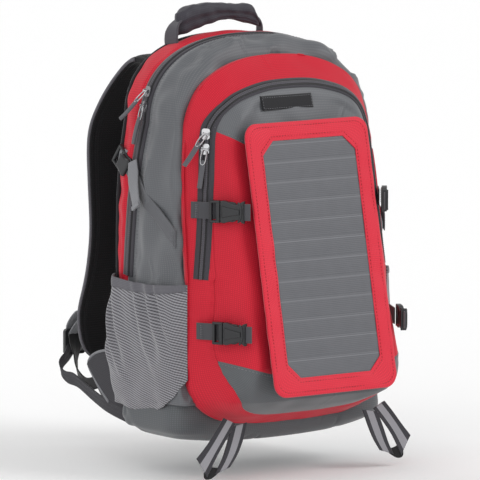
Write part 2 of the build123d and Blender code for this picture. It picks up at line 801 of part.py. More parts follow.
lock_size = (webbing + 10, 32.0, 5.0)
lock_x = -121.0 - strap_edge
lock_slot = 5.0
lock_y = strap_bow + 41      # behind the pad's lower end, clear of it as it tilts
lock_top = strap_low_height + 33
with BuildPart() as ladder_lock:
    with BuildSketch(Plane.XZ.offset(-lock_y - lock_size[2])):
        with Locations((lock_x, up(lock_top - lock_size[1] / 2))):
            RectangleRounded(lock_size[0], lock_size[1], 4)
            for rise in (-0.31, 0, 0.31):
                with Locations((0, rise * lock_size[1])):
                    Rectangle(webbing + 2, lock_slot, mode=Mode.SUBTRACT)
    extrude(amount=lock_size[2])
save_pair(ladder_lock, "ladder_lock")

# The lower webbing leaves a sewn wing at the pack's lower corner and hangs to the lock.
wing_heights = (14.0, 100.0)
wing_reach = 50.0
web_low = [(1, 22), (42, 36), (80, 50), (106, 54), (117, 64)]
with BuildPart() as anchor:
    with BuildSketch(Plane.YZ.offset(-half_width + 6)):
        with BuildLine():
            Polyline((-pad_thickness + 0.5, up(wing_heights[0])), (14, up(18)),
                     (wing_reach, up(72)), (wing_reach, up(82)), (-pad_thickness + 0.5, up(wing_heights[1])), close=True)
        make_face()
    extrude(amount=3)
    with BuildSketch(Plane.YZ.offset(-half_width + 9)):
        with BuildLine():
            FilletPolyline(*[(y, up(h)) for y, h in web_low], radius=9)
        trace(line_width=webbing_thickness + 0.6)
    extrude(amount=webbing)
save_pair(anchor, "strap_anchor")

# ---- Haul handle: webbing with a padded sleeve ----
crown = arch_start + arch_shares[-1] * arch_rise
handle_y = -24.0
handle_width = 24.0
leg_width = 8.0
leg_gap = 2.8
sleeve_half = 0.86 * handle_half
grip_height = crown + handle_rise + handle_thickness / 2
with BuildPart() as handle_webbing:
    with BuildSketch(Plane.XZ.offset(-handle_y - leg_width / 2)):
        with BuildLine():
            FilletPolyline((-handle_half - 3, up(crown - 4 + leg_gap)),
                           (-handle_half - 2, up(grip_height)), (handle_half + 2, up(grip_height)),
                           (handle_half + 3, up(crown - 4 + leg_gap)), radius=9)
        trace(line_width=2.4)
    extrude(amount=leg_width)
save(handle_webbing, "handle_webbing")

with BuildPart() as handle_sleeve:
    with BuildSketch(Plane.YZ.offset(-sleeve_half)):
        with Locations((handle_y, up(grip_height))):
            RectangleRounded(handle_width, handle_thickness, 7)
            Rectangle(leg_width, 2.4, mode=Mode.SUBTRACT)
    extrude(amount=2 * sleeve_half)
save(handle_sleeve, "handle_sleeve")
print(f"handle pivot {(0, handle_y, up(crown - 2))}")

# ---- Bottom loops: webbing that hangs below the base and holds a rolled mat ----
loop_depth = 192.0
loop_thickness = 2.4
loop_outline = [(-121, 36), (-88, 28), (-113, -22), (-136, -33), (-149, -33), (-161, -8)]
loop_hole = [(-117, 16), (-127, -22), (-141, -18), (-143, -13)]
with BuildPart() as loop:
    with BuildSketch(Plane.XZ.offset(loop_depth - loop_thickness / 2)):
        with BuildLine():
            Polyline(*[(x, up(h)) for x, h in loop_outline], close=True)
        make_face()
        with BuildLine():
            Polyline(*[(x, up(h)) for x, h in loop_hole], close=True)
        make_face(mode=Mode.SUBTRACT)
    extrude(amount=loop_thickness)
save_pair(loop, "bottom_loop")
print(f"loop pivot {(0, -loop_depth, up(32))}")

# ---- Battery and its sleeve inside the front pocket ----
battery_size = (76.0, 142.0, 14.0)
battery_wall = 1.6
battery_floor = 64.0
sleeve_fabric = 1.6
sleeve_room = 1.2
button_radius = 4.5
button_travel = 0.8
battery_back = main_depth + sleeve_fabric + sleeve_room
with BuildPart() as battery_sleeve:
    outer = (battery_size[0] + 2 * (sleeve_room + sleeve_fabric),
             battery_size[2] + 2 * (sleeve_room + sleeve_fabric))
    middle = -main_depth - outer[1] / 2
    with BuildSketch(Plane((0, middle, up(battery_floor - sleeve_fabric)))):
        Rectangle(outer[0], outer[1])
    extrude(amount=0.8 * battery_size[1])
    with BuildSketch(Plane((0, middle, up(battery_floor)))):
        Rectangle(outer[0] - 2 * sleeve_fabric, outer[1] - 2 * sleeve_fabric)
    extrude(amount=battery_size[1], mode=Mode.SUBTRACT)
save(battery_sleeve, "battery_sleeve")

battery_top = battery_floor + 0.2 + battery_size[1]
button_place = (22.0, up(battery_top - 20))
with BuildPart() as battery_case:
    with BuildSketch(Plane.XZ.offset(battery_back)):
        with Locations((0, up(battery_top - battery_size[1] / 2))):
            RectangleRounded(battery_size[0], battery_size[1], 8)
    extrude(amount=battery_size[2])
    with BuildSketch(Plane.XZ.offset(battery_back + battery_wall)):
        with Locations((0, up(battery_top - battery_size[1] / 2))):
            RectangleRounded(battery_size[0] - 2 * battery_wall,
                             battery_size[1] - 2 * battery_wall, 6)
    extrude(amount=battery_size[2] - 2 * battery_wall, mode=Mode.SUBTRACT)
    with BuildSketch(Plane.XZ.offset(battery_back + battery_size[2] - battery_wall - 1)):
        with Locations(button_place):
            Circle(button_radius + 0.3)
        with Locations(*[(-24 + 7 * i, button_place[1]) for i in range(4)]):
            Circle(1.2)
    extrude(amount=battery_wall + 2, mode=Mode.SUBTRACT)
save(battery_case, "battery_case")

with BuildPart() as battery_cell:
    with BuildSketch(Plane.XZ.offset(battery_back + battery_wall)):
        with Locations((0, up(battery_top - battery_size[1] / 2 - 8))):
            Rectangle(battery_size[0] - 2 * battery_wall - 4,
                      battery_size[1] - 2 * battery_wall - 22)
    extrude(amount=battery_size[2] - 2 * battery_wall - 3)
save(battery_cell, "battery_cell")

with BuildPart() as battery_button:
    with BuildSketch(Plane.XZ.offset(battery_back + battery_size[2] - battery_wall - 0.6)):
        with Locations(button_place):
            Circle(button_radius)
    extrude(amount=battery_wall + 1.2)
save(battery_button, "battery_button")
print(f"button {button_place}, battery back {battery_back}")
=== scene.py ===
import json
import math

import bmesh
import bpy
import numpy as np
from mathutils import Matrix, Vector


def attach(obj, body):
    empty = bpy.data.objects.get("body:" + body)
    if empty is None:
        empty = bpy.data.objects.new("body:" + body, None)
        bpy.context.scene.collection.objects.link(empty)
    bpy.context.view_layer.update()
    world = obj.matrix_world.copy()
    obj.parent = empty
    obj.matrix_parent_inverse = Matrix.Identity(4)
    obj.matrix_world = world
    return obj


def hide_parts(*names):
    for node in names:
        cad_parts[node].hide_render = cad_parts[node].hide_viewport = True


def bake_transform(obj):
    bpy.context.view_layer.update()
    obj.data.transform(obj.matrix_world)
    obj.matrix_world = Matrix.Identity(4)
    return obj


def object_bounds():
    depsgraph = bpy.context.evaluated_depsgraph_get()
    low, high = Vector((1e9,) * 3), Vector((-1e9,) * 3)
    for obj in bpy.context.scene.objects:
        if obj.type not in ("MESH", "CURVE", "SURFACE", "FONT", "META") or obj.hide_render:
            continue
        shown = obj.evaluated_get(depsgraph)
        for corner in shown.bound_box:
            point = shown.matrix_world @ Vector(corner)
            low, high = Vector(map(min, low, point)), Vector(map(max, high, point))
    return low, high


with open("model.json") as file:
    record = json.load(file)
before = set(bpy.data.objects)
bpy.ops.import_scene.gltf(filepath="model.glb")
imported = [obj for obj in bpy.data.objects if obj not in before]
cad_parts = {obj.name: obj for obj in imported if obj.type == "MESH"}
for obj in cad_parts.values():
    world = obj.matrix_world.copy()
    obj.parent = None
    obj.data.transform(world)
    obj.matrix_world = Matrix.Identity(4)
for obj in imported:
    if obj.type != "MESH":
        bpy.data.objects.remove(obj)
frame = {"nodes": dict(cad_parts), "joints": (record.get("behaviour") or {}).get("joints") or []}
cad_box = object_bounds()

# ---- The studio ----
# A pale floor just under the hanging loops, a long lens from the wearer's left front,
# a large soft key lamp on the right, a fill on the left and a white room round them.
AZIMUTH, ELEVATION = math.radians(-36.0), math.radians(7.0)
DISTANCE, FIELD = 8.0, 0.590
SHIFT_RIGHT, SHIFT_UP = 0.0333, -0.0144


def linear(code, alpha=1.0):
    """Linear light values of an sRGB hex colour."""
    parts = [int(code[i:i + 2], 16) / 255 for i in (1, 3, 5)]
    return [c / 12.92 if c <= 0.04045 else ((c + 0.055) / 1.055) ** 2.4 for c in parts] + [alpha]


def add_node(tree, kind, links=(), **settings):
    """Add a node, set its inputs or properties by name, and link inputs to output sockets."""
    node = tree.nodes.new("ShaderNode" + kind)
    for name, value in settings.items():
        if hasattr(node, name):
            setattr(node, name, value)
        else:
            node.inputs[name.replace("_", " ")].default_value = value
    for socket, source in dict(links).items():
        tree.links.new(source, node.inputs[socket])
    return node


back = Vector((math.sin(AZIMUTH) * math.cos(ELEVATION),
               -math.cos(AZIMUTH) * math.cos(ELEVATION), math.sin(ELEVATION)))
turn = (-back).to_track_quat("-Z", "Y")
target = turn @ Vector((SHIFT_RIGHT, SHIFT_UP, 0))
camera = bpy.data.objects.new("camera", bpy.data.cameras.new("camera"))
bpy.context.collection.objects.link(camera)
camera.location = target + back * DISTANCE
camera.rotation_euler = turn.to_euler()
camera.data.lens = 36 * DISTANCE / FIELD
camera.data.clip_end = 200
bpy.context.scene.camera = camera
bpy.context.scene.view_settings.view_transform = "Standard"

world = bpy.data.worlds.new("white room")
bpy.context.scene.world = world
world.use_nodes = True
world.node_tree.nodes["Background"].inputs["Color"].default_value = linear("#ffffff")
world.node_tree.nodes["Background"].inputs["Strength"].default_value = 0.55

for name, way, strength, spread in (("key", (0.75, -1.0, 0.85), 1.25, 35),
                                    ("fill", (-1.0, -0.55, 0.55), 0.85, 60),
                                    ("rim", (-0.4, 1.0, 0.9), 0.6, 50)):
    lamp = bpy.data.objects.new(name, bpy.data.lights.new(name, "SUN"))
    bpy.context.collection.objects.link(lamp)
    lamp.rotation_euler = Vector(way).to_track_quat("Z", "Y").to_euler()
    lamp.data.energy = strength
    lamp.data.angle = math.radians(spread)

bpy.ops.mesh.primitive_plane_add(size=80, location=(0, 0, cad_box[0].z - 0.012))
floor = bpy.context.object
floor.name = "floor"
paper = bpy.data.materials.new("white paper sweep")
paper.use_nodes = True
paper.node_tree.nodes["Principled BSDF"].inputs["Base Color"].default_value = linear("#ffffff")
paper.node_tree.nodes["Principled BSDF"].inputs["Roughness"].default_value = 0.9
floor.data.materials.append(paper)

# ---- Main compartment: rear shell, front shell, zip ----
# Woven nylon panels, foam lined, sewn round the arch; the zip joins the red rear gusset
# to the grey front gusset. All shapes here are in millimetres: x across, depth forward of
# the wearer's back, height above the base.
HALF, SHOULDER_HALF, WAIST, ARCH_START, RISE, POWER = 155.0, 142.0, 200.0, 385.0, 99.0, 2.4
MAIN_DEPTH, TOP_DEPTH, BACK_DEPTH = 147.0, 125.0, 12.0
SEAM_HEIGHT = 50.0
THREAD = 2.4            # weave spacing, real 0.5, drawn coarser so that it shows


def place(x, depth, height):
    """Points in metres in the part's frame from millimetres across, forward and up."""
    return np.stack(np.broadcast_arrays(x, -np.asarray(depth, float),
                                        np.asarray(height, float) - 240.0), -1) / 1000


def even(line, count):
    """A line's points spaced evenly: interpolated by length along it."""
    line = np.asarray(line, float)
    length = np.r_[0, np.cumsum(np.linalg.norm(np.diff(line, axis=0), axis=1))]
    at = np.linspace(0, length[-1], count)
    return np.stack([np.interp(at, length, line[:, k]) for k in range(line.shape[1])], -1)


def flowing(knots, count):
    """A smooth line through knots: Catmull-Rom pieces, then spaced evenly."""
    knots = np.asarray(knots, float)
    padded = np.vstack([2 * knots[0] - knots[1], knots, 2 * knots[-1] - knots[-2]])
    t = np.linspace(0, 1, 24, endpoint=False)[:, None]
    a, b, c, d = (padded[i:len(padded) - 3 + i, None] for i in range(4))
    piece = 0.5 * (2 * b + (c - a) * t + (2 * a - 5 * b + 4 * c - d) * t**2
                   + (3 * b - a - 3 * c + d) * t**3)
    return even(np.vstack([piece.reshape(-1, knots.shape[1]), knots[-1:]]), count)


def ease(value, low, high):
    """0 below low, 1 above high, a smooth cubic step between."""
    t = np.clip((np.asarray(value, float) - low) / (high - low), 0, 1)
    return t * t * (3 - 2 * t)


def relief(points, spacing, seed, waves=18):
    """Soft random relief about -1 to 1: sine waves in random directions, spacing apart."""
    rng = np.random.default_rng(seed)
    ways = rng.normal(size=(waves, points.shape[-1]))
    ways /= np.linalg.norm(ways, axis=1, keepdims=True)
    ways *= 2 * np.pi / spacing * rng.uniform(0.6, 1.6, (waves, 1))
    return np.sin(points @ ways.T + rng.uniform(0, 6.28, waves)).sum(-1) * (1.4 / waves) ** 0.5


def creases(points, spacing, seed):
    """Cloth creases 0 to 1: sharp crests where soft relief crosses zero, faded in patches."""
    crest = np.exp(-(relief(points, spacing, seed) / 0.22) ** 2)
    return crest * ease(relief(points, 2.2 * spacing, seed + 1), -0.1, 0.9)


def facing(grid, ring=False):
    """Unit normals of a grid of points: the cross product of its two central differences."""
    if ring:
        along = np.roll(grid, -1, 0) - np.roll(grid, 1, 0)
    else:
        along = np.gradient(grid, axis=0)
    normal = np.cross(along, np.gradient(grid, axis=1))
    return normal / np.maximum(np.linalg.norm(normal, axis=-1, keepdims=True), 1e-12)


def sew(name, grid, ring=False, inside=(0, -0.09, 0), weld=True):
    """A mesh over a grid of points, a quad between each four neighbours. ring closes the
    first axis. Faces look away from inside. Its map, cloth, is in metres along and across."""
    rows, cols = grid.shape[:2]
    i, j = np.meshgrid(np.arange(rows if ring else rows - 1), np.arange(cols - 1), indexing="ij")
    ci, cj = np.stack([i, i + 1, i + 1, i], -1), np.stack([j, j, j + 1, j + 1], -1)
    quads = (ci % rows * cols + cj).reshape(-1, 4)
    closed = np.concatenate([grid, grid[:1]]) if ring else grid
    along = np.r_[0, np.cumsum(np.linalg.norm(np.diff(closed, axis=0), axis=2).mean(1))]
    across = np.r_[0, np.cumsum(np.linalg.norm(np.diff(grid, axis=1), axis=2).mean(0))]
    uv = np.stack([along[ci], across[cj]], -1).reshape(-1, 4, 2)
    points = grid.reshape(-1, 3)
    corner = points[quads]
    normal = np.cross(corner[:, 2] - corner[:, 0], corner[:, 3] - corner[:, 1])
    if np.sum(normal * (corner.mean(1) - np.asarray(inside))) < 0:
        quads, uv = quads[:, ::-1], uv[:, ::-1]
    mesh = bpy.data.meshes.new(name)
    mesh.from_pydata(points.tolist(), [], quads.tolist())
    mesh.uv_layers.new(name="cloth").data.foreach_set("uv", uv.ravel())
    if weld:
        form = bmesh.new()
        form.from_mesh(mesh)
        bmesh.ops.remove_doubles(form, verts=form.verts, dist=2e-6)
        form.to_mesh(mesh)
        form.free()
    mesh.shade_smooth()
    piece = bpy.data.objects.new(name, mesh)
    bpy.context.collection.objects.link(piece)
    return piece


def dress(piece, material, body, slot, *nodes, wall=0.0):
    """Give a piece its cloth's thickness, inwards, its material and body, and hide the CAD nodes it
    replaces.
    """
    if wall:
        solid = piece.modifiers.new("cloth", "SOLIDIFY")
        solid.thickness, solid.offset = wall / 1000, -1
    piece.data.materials.append(material)
    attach(piece, body)
    if nodes:
        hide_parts(*nodes)
    return piece


def woven(name, light, dark, roughness=0.6, spacing=THREAD, bump=0.25, sheen=0.25, ribs=0.0,
          specular=0.35):
    """Woven nylon: threads both ways as two sine waves over the piece's own map, uneven dye
    in soft patches, and fine fibre noise. ribs draws the thicker ripstop thread instead."""
    material = bpy.data.materials.new(name)
    material.use_nodes = True
    tree = material.node_tree
    shader = tree.nodes["Principled BSDF"]
    cloth = add_node(tree, "UVMap", uv_map="cloth").outputs["UV"]
    wave = 0.314 / (spacing / 1000)
    warp = add_node(tree, "TexWave", {"Vector": cloth}, wave_type="BANDS", bands_direction="X",
                    Scale=wave, Distortion=0.4, Detail=1.0)
    weft = add_node(tree, "TexWave", {"Vector": cloth}, wave_type="BANDS", bands_direction="Y",
                    Scale=wave, Distortion=0.4, Detail=1.0)
    weave = add_node(tree, "Math", {0: warp.outputs["Fac"], 1: weft.outputs["Fac"]},
                     operation="MULTIPLY" if ribs == 0 else "MAXIMUM").outputs[0]
    where = add_node(tree, "TexCoord").outputs["Object"]
    patches = add_node(tree, "TexNoise", {"Vector": where}, Scale=14.0, Detail=4.0)
    fibre = add_node(tree, "TexNoise", {"Vector": where}, Scale=900.0, Detail=2.0)
    shade = add_node(tree, "Math", {0: patches.outputs["Fac"], 1: fibre.outputs["Fac"]},
                     operation="ADD").outputs[0]
    half = add_node(tree, "Math", {0: shade}, operation="MULTIPLY")
    half.inputs[1].default_value = 0.4
    total = add_node(tree, "Math", {0: half.outputs[0], 1: weave}, operation="MULTIPLY_ADD")
    total.inputs[1].default_value = 1.0
    weave_part = add_node(tree, "Math", {0: weave}, operation="MULTIPLY")
    weave_part.inputs[1].default_value = 0.35
    tree.links.new(weave_part.outputs[0], total.inputs[2])
    mix = add_node(tree, "Mix", {"Factor": total.outputs[0]}, data_type="RGBA")
    mix.inputs["A"].default_value, mix.inputs["B"].default_value = linear(dark), linear(light)
    tree.links.new(mix.outputs["Result"], shader.inputs["Base Color"])
    relief_node = add_node(tree, "Bump", {"Height": weave}, Strength=bump, Distance=0.0004)
    tree.links.new(relief_node.outputs["Normal"], shader.inputs["Normal"])
    shader.inputs["Roughness"].default_value = roughness
    shader.inputs["Specular IOR Level"].default_value = specular
    shader.inputs["Sheen Weight"].default_value = sheen
    shader.inputs["Sheen Roughness"].default_value = 0.4
    return material


RED_NYLON = woven("red woven nylon", "#e3243b", "#b91a2d", roughness=0.6, sheen=0.1,
                  specular=0.25)
GREY_NYLON = woven("grey coated nylon", "#6f7174", "#585a5e", roughness=0.5, bump=0.15,
                   specular=0.45)
DARK_GREY_NYLON = woven("dark grey coated nylon", "#686b6e", "#515457", roughness=0.5, bump=0.15)
TAPE = woven("dark grey zip tape", "#4d4b51", "#37353b", roughness=0.75, spacing=1.6)
COIL = woven("black nylon coil", "#1f1e22", "#121114", roughness=0.5, spacing=1.5)
GREY_WEBBING = woven("grey strap webbing", "#6b6c70", "#58595d", roughness=0.7, spacing=1.6, bump=0.5)
TAPE_RIDGE = woven("grey coil cover", "#5a585e", "#444248", roughness=0.6, spacing=2.6, bump=0.4)
WEBBING = woven("charcoal webbing", "#47464b", "#302f34", roughness=0.75, spacing=1.8, bump=0.5)
LIGHT_WEBBING = woven("grey webbing", "#909195", "#797a7e", roughness=0.75, spacing=1.8, bump=0.5)
MESH_FOAM = woven("black spacer mesh", "#1d1c20", "#0c0c0e", roughness=0.85, spacing=3.0,
                  bump=0.7, sheen=0.15)
PIPING = woven("black bias binding", "#2c2b2f", "#1d1c20", roughness=0.8, spacing=1.6)


def main_front(h):
    """Depth of the main front panel at a height."""
    share = np.clip((h - WAIST) / (ARCH_START - WAIST), 0, 1)
    crown = np.clip((h - ARCH_START) / RISE, 0, 1)
    return (MAIN_DEPTH + (TOP_DEPTH - MAIN_DEPTH) * share) * (1 - 0.16 * crown**4)


def zip_depth(h):
    """Depth of the main zip's middle line at a height: a plane leaning forward."""
    return 40.0 + 25.0 / 284.0 * (h - 200.0)


side_heights = np.linspace(SEAM_HEIGHT, ARCH_START, 60, endpoint=False)
side_half = np.interp(side_heights, (50, 240, 290, 325, 350, 370, 385),
                      (155, 155, 154, 151.5, 148.2, 144.8, 142))
angles = np.linspace(0, np.pi / 2, 120)
arch = np.stack([-SHOULDER_HALF * np.cos(angles) ** (2 / POWER),
                 ARCH_START + RISE * np.sin(angles) ** (2 / POWER)], -1)
left_half = np.vstack([np.stack([-side_half, side_heights], -1), arch])
outline = even(np.vstack([left_half, (left_half * [-1, 1])[::-1][1:]]), 521)
to_spine = np.stack([np.zeros(len(outline)), np.minimum(outline[:, 1], ARCH_START)], -1) - outline
spine_length = np.linalg.norm(to_spine, axis=1)
inwards = to_spine / spine_length[:, None]


def bag_grid(insets, depths, puff):
    """The main bag's skin: each outline point drawn in towards the spine by its insets, at
    its depths, and pushed out by puff. All three are arrays of outline by profile."""
    flat = outline[:, None] + inwards[:, None] * (insets - puff)[..., None]
    return place(flat[..., 0], depths, flat[..., 1])


def fanned(edge, count, power=1.6):
    """Insets from an edge inset to the spine, closer together near the edge."""
    share = np.linspace(0, 1, count) ** power
    return edge + (spine_length[:, None] - edge) * share


corner = np.linspace(0, np.pi / 2, 10)
zip_at = zip_depth(outline[:, 1])[:, None]
edge_at = main_front(outline[:, 1])[:, None]

# the grey front shell: gusset from the zip, a soft rolled edge, the front panel
FRONT_ROLL = 9.0 + 14.0 * ease(outline[:, 1:], 380, 455)
share = np.linspace(0, 1, 44)
gusset_depth = zip_at + (edge_at - FRONT_ROLL - zip_at) * share
from_zip = gusset_depth - zip_at


def front_puff(from_zip, room):
    """How far the grey gusset stands out of the outline: a soft arch clear of the tape."""
    return 4.5 * np.sin(np.pi * np.clip(from_zip / room, 0, 1)) * ease(from_zip, 8, 26)


gusset_puff = front_puff(from_zip, edge_at - FRONT_ROLL - zip_at)
roll = corner[1:]
insets = np.hstack([0 * gusset_depth, FRONT_ROLL * (1 - np.cos(roll)) + 0 * zip_at,
                    fanned(FRONT_ROLL, 30)[:, 1:]])
depths = np.hstack([gusset_depth, edge_at - FRONT_ROLL + FRONT_ROLL * np.sin(roll),
                    edge_at + np.zeros((1, 29))])
puff = np.hstack([gusset_puff, np.zeros((len(outline), 38))])
grid = bag_grid(insets, depths, puff)
away = np.hstack([from_zip, from_zip[:, -1:] + np.ones((1, 38)) * 40])
GUSSET_FOLD, GUSSET_LUMP = 0.0034, 0.0026


def gusset_relief(points, away):
    """Creases and lumps of the slack grey panel, in metres, fading out towards the zip."""
    return (GUSSET_FOLD * creases(points, 0.06, 3) * ease(away, 12, 42)
            + GUSSET_LUMP * relief(points, 0.055, 5) * ease(away, 16, 40))


grid -= facing(grid) * gusset_relief(grid, away)[..., None]
gusset_cloth = grid
front_shell = sew("front_shell_cloth", grid)
dress(front_shell, GREY_NYLON, "pack", "grey_fabric", "front_shell", wall=2.0)

# the red rear shell: back wall, rolled back edge, gusset up to the zip
BACK_ROLL = 12.0
share = np.linspace(0, 1, 26)
rear_start = BACK_DEPTH + BACK_ROLL
rear_depth = rear_start + (zip_at - rear_start) * share
rear_puff = 3.0 * np.sin(np.pi * share) * ease(zip_at - rear_depth, 7, 16)
insets = np.hstack([fanned(BACK_ROLL, 24)[:, :0:-1],
                    BACK_ROLL * (1 - np.sin(corner)) + 0 * zip_at, 0 * rear_depth[:, 1:]])
depths = np.hstack([BACK_DEPTH + np.zeros((len(outline), 23)),
                    rear_start - BACK_ROLL * np.cos(corner) + 0 * zip_at, rear_depth[:, 1:]])
puff = np.hstack([np.zeros((len(outline), 33)), rear_puff[:, 1:]])
grid = bag_grid(insets, depths, puff)
grid += facing(grid) * (0.0008 * relief(grid, 0.035, 9)
                        * ease(zip_at - depths, 6, 14))[..., None]
rear_shell = sew("rear_shell_cloth", grid)
dress(rear_shell, RED_NYLON, "pack", "red_fabric", "rear_shell", wall=2.0)


def ribbon(centre, across, normal, half_width, profile):
    """A band along a line: for each (share, lift) of the profile, the line moved across by
    share of half_width and off by lift. Everything in metres but the lifts, millimetres."""
    share, lift = np.asarray(profile, float).T
    reach = share * np.reshape(half_width, (-1, 1))
    return (centre[:, None] + across[:, None] * reach[..., None]
            + normal[:, None] * (lift / 1000)[:, None])


def teeth(grid, first, last, pitch, height, normal):
    """Lift a ribbon's columns first to last in waves, one for each tooth of the coil."""
    along = np.r_[0, np.cumsum(np.linalg.norm(np.diff(grid[:, first], axis=0), axis=1))]
    lift = height * np.sin(2 * np.pi * along / pitch)[:, None]
    grid[:, first:last] += normal[:, None] * lift[..., None]
    return grid


TAPE_PROFILE = [(-1.0, 0.1), (-0.98, 1.0), (-0.55, 1.15), (-0.3, 1.2), (0.3, 1.2), (0.55, 1.15),
                (0.98, 1.0), (1.0, 0.1)]
COIL_PROFILE = [(-1.0, 1.1), (-0.97, 1.6), (-0.7, 1.75), (-0.52, 1.7), (-0.48, 2.3),
                (-0.3, 2.85), (0, 3.0), (0.3, 2.85), (0.48, 2.3), (0.52, 1.7), (0.7, 1.75),
                (0.97, 1.6), (1.0, 1.1)]


def lay_zip(name, centre, across, normal, width, nodes):
    """A zip: its woven tape and, on it, the coil, with a wave of 2.6 mm for each tooth."""
    tape = sew(name + "_tape", ribbon(centre, across, normal, np.divide(width, 2), TAPE_PROFILE),
               inside=(0, -0.08, 0.0))
    dress(tape, TAPE, "pack", "zip_tape", nodes[0], wall=0.5)
    grid = teeth(ribbon(centre, across, normal, 0.0040, COIL_PROFILE), 4, 9, 0.0026, 0.0002,
                 normal)
    coil = sew(name + "_coil", grid)
    dress(coil, COIL, "pack", "zip_tape", nodes[1], wall=0.4)
    coil.data.materials.append(TAPE_RIDGE)
    ridge = np.tile(np.isin(np.arange(12), (4, 5, 6, 7)), len(centre) - 1)
    coil.data.polygons.foreach_set("material_index", ridge.astype(int))


leg = outline[outline[:, 1] > 196]
zip_line = even(np.c_[leg, zip_depth(leg[:, 1])], 1400)
zip_centre = place(zip_line[:, 0], zip_line[:, 2], zip_line[:, 1])
zip_along = np.gradient(zip_centre, axis=0)
zip_across = np.cross(zip_along, [0, 1, 0])
zip_across /= np.linalg.norm(zip_across, axis=1, keepdims=True)
zip_normal = zip_across * np.sign(np.sum(zip_across * (zip_centre - [0, -0.05, 0.06]),
                                         axis=1))[:, None]
zip_across = np.cross(zip_along, zip_normal)
zip_across /= np.linalg.norm(zip_across, axis=1, keepdims=True)
lay_zip("main_zip", zip_centre, zip_across, zip_normal, 0.020, ("main_zip_tape", "main_zip_coil"))


def tube(line, radius, sides=8):
    """A round cord along a line: a circle square to the line at each point."""
    along = np.gradient(line, axis=0)
    along /= np.linalg.norm(along, axis=1, keepdims=True)
    first = np.cross(along, [0.31, 0.17, 0.93])
    first /= np.linalg.norm(first, axis=1, keepdims=True)
    second = np.cross(along, first)
    angle = np.linspace(0, 2 * np.pi, sides, endpoint=False)
    return (line[:, None] + radius * (np.cos(angle)[:, None] * first[:, None]
                                      + np.sin(angle)[:, None] * second[:, None]))


def cord_mesh(name, line, radius, sides=8):
    """A closed cord: the tube round a line, with a point at each end."""
    rings = tube(line, radius, sides)
    caps = [np.repeat(end[None, None], sides, 1) for end in (line[0], line[-1])]
    rings = np.concatenate([caps[0], rings, caps[1]])
    piece = sew(name, rings.transpose(1, 0, 2), ring=True, inside=line.mean(0))
    form = bmesh.new()
    form.from_mesh(piece.data)
    bmesh.ops.recalc_face_normals(form, faces=form.faces)
    form.to_mesh(piece.data)
    form.free()
    return piece


edge = outline + inwards * 2.6
back_piping = cord_mesh("back_edge_piping", place(edge[:, 0], 14.0 + 0 * edge[:, 0],
                                                  edge[:, 1]), 0.0026)
dress(back_piping, PIPING, "pack", "black_lining")


def stitches(name, line, normal, material, body, slot, length=3.0, gap=1.6, radius=0.45):
    """A row of thread along a line: short lozenges of eight corners, half sunk in the cloth."""
    total = np.r_[0, np.cumsum(np.linalg.norm(np.diff(line, axis=0), axis=1))]
    starts = np.arange(0, total[-1] - length / 1000, (length + gap) / 1000)
    at = starts[:, None] + np.array([0, 0.25, 0.75, 1]) * length / 1000
    points = np.stack([np.interp(at, total, line[:, k]) for k in range(3)], -1)
    up_way = np.stack([np.interp(at, total, normal[:, k]) for k in range(3)], -1)
    along = np.broadcast_to((points[:, 3:] - points[:, :1]), points.shape)
    side_way = np.cross(along, up_way)
    side_way /= np.maximum(np.linalg.norm(side_way, axis=-1, keepdims=True), 1e-9)
    size = np.array([0.05, 1, 1, 0.05])[:, None] * radius / 1000
    rings = np.stack([points + side_way * size, points + up_way * size,
                      points - side_way * size, points - up_way * size], 2)
    count = len(starts)
    base = np.arange(count)[:, None, None] * 16
    i, j = np.meshgrid(np.arange(3), np.arange(4), indexing="ij")
    quad = np.stack([i * 4 + j, i * 4 + (j + 1) % 4, (i + 1) * 4 + (j + 1) % 4, (i + 1) * 4 + j],
                    -1).reshape(1, -1, 4)
    faces = (base + quad).reshape(-1, 4)
    mesh = bpy.data.meshes.new(name)
    mesh.from_pydata(rings.reshape(-1, 3).tolist(), [], faces.tolist())
    mesh.uv_layers.new(name="cloth")
    form = bmesh.new()
    form.from_mesh(mesh)
    bmesh.ops.remove_doubles(form, verts=form.verts, dist=1e-7)
    bmesh.ops.holes_fill(form, edges=form.edges)
    bmesh.ops.recalc_face_normals(form, faces=form.faces)
    form.to_mesh(mesh)
    form.free()
    mesh.shade_smooth()
    piece = bpy.data.objects.new(name, mesh)
    bpy.context.collection.objects.link(piece)
    return dress(piece, material, body, slot)


GREY_THREAD = woven("grey thread", "#85868a", "#6e6f73", roughness=0.8, spacing=1.0)
RED_THREAD = woven("dark red thread", "#b31c2a", "#8f1520", roughness=0.8, spacing=1.0)
for row, (offset, colour, slot) in enumerate((((12.5, GREY_THREAD, "grey_fabric")),
                                              ((16.5, GREY_THREAD, "grey_fabric")))):
    line = place(outline[:, 0], zip_depth(outline[:, 1]) + offset, outline[:, 1])
    keep = outline[:, 1] > 196
    outward = np.c_[-inwards[:, 0], 0 * inwards[:, 0], -inwards[:, 1]]
    room = (edge_at - FRONT_ROLL - zip_at)[:, 0]
    line = line + outward * (front_puff(offset + 0 * room, room)[:, None] / 1000 + 0.0002)
    stitches(f"zip_stitches_{row + 1}", line[keep], outward[keep], colour, "pack", slot)

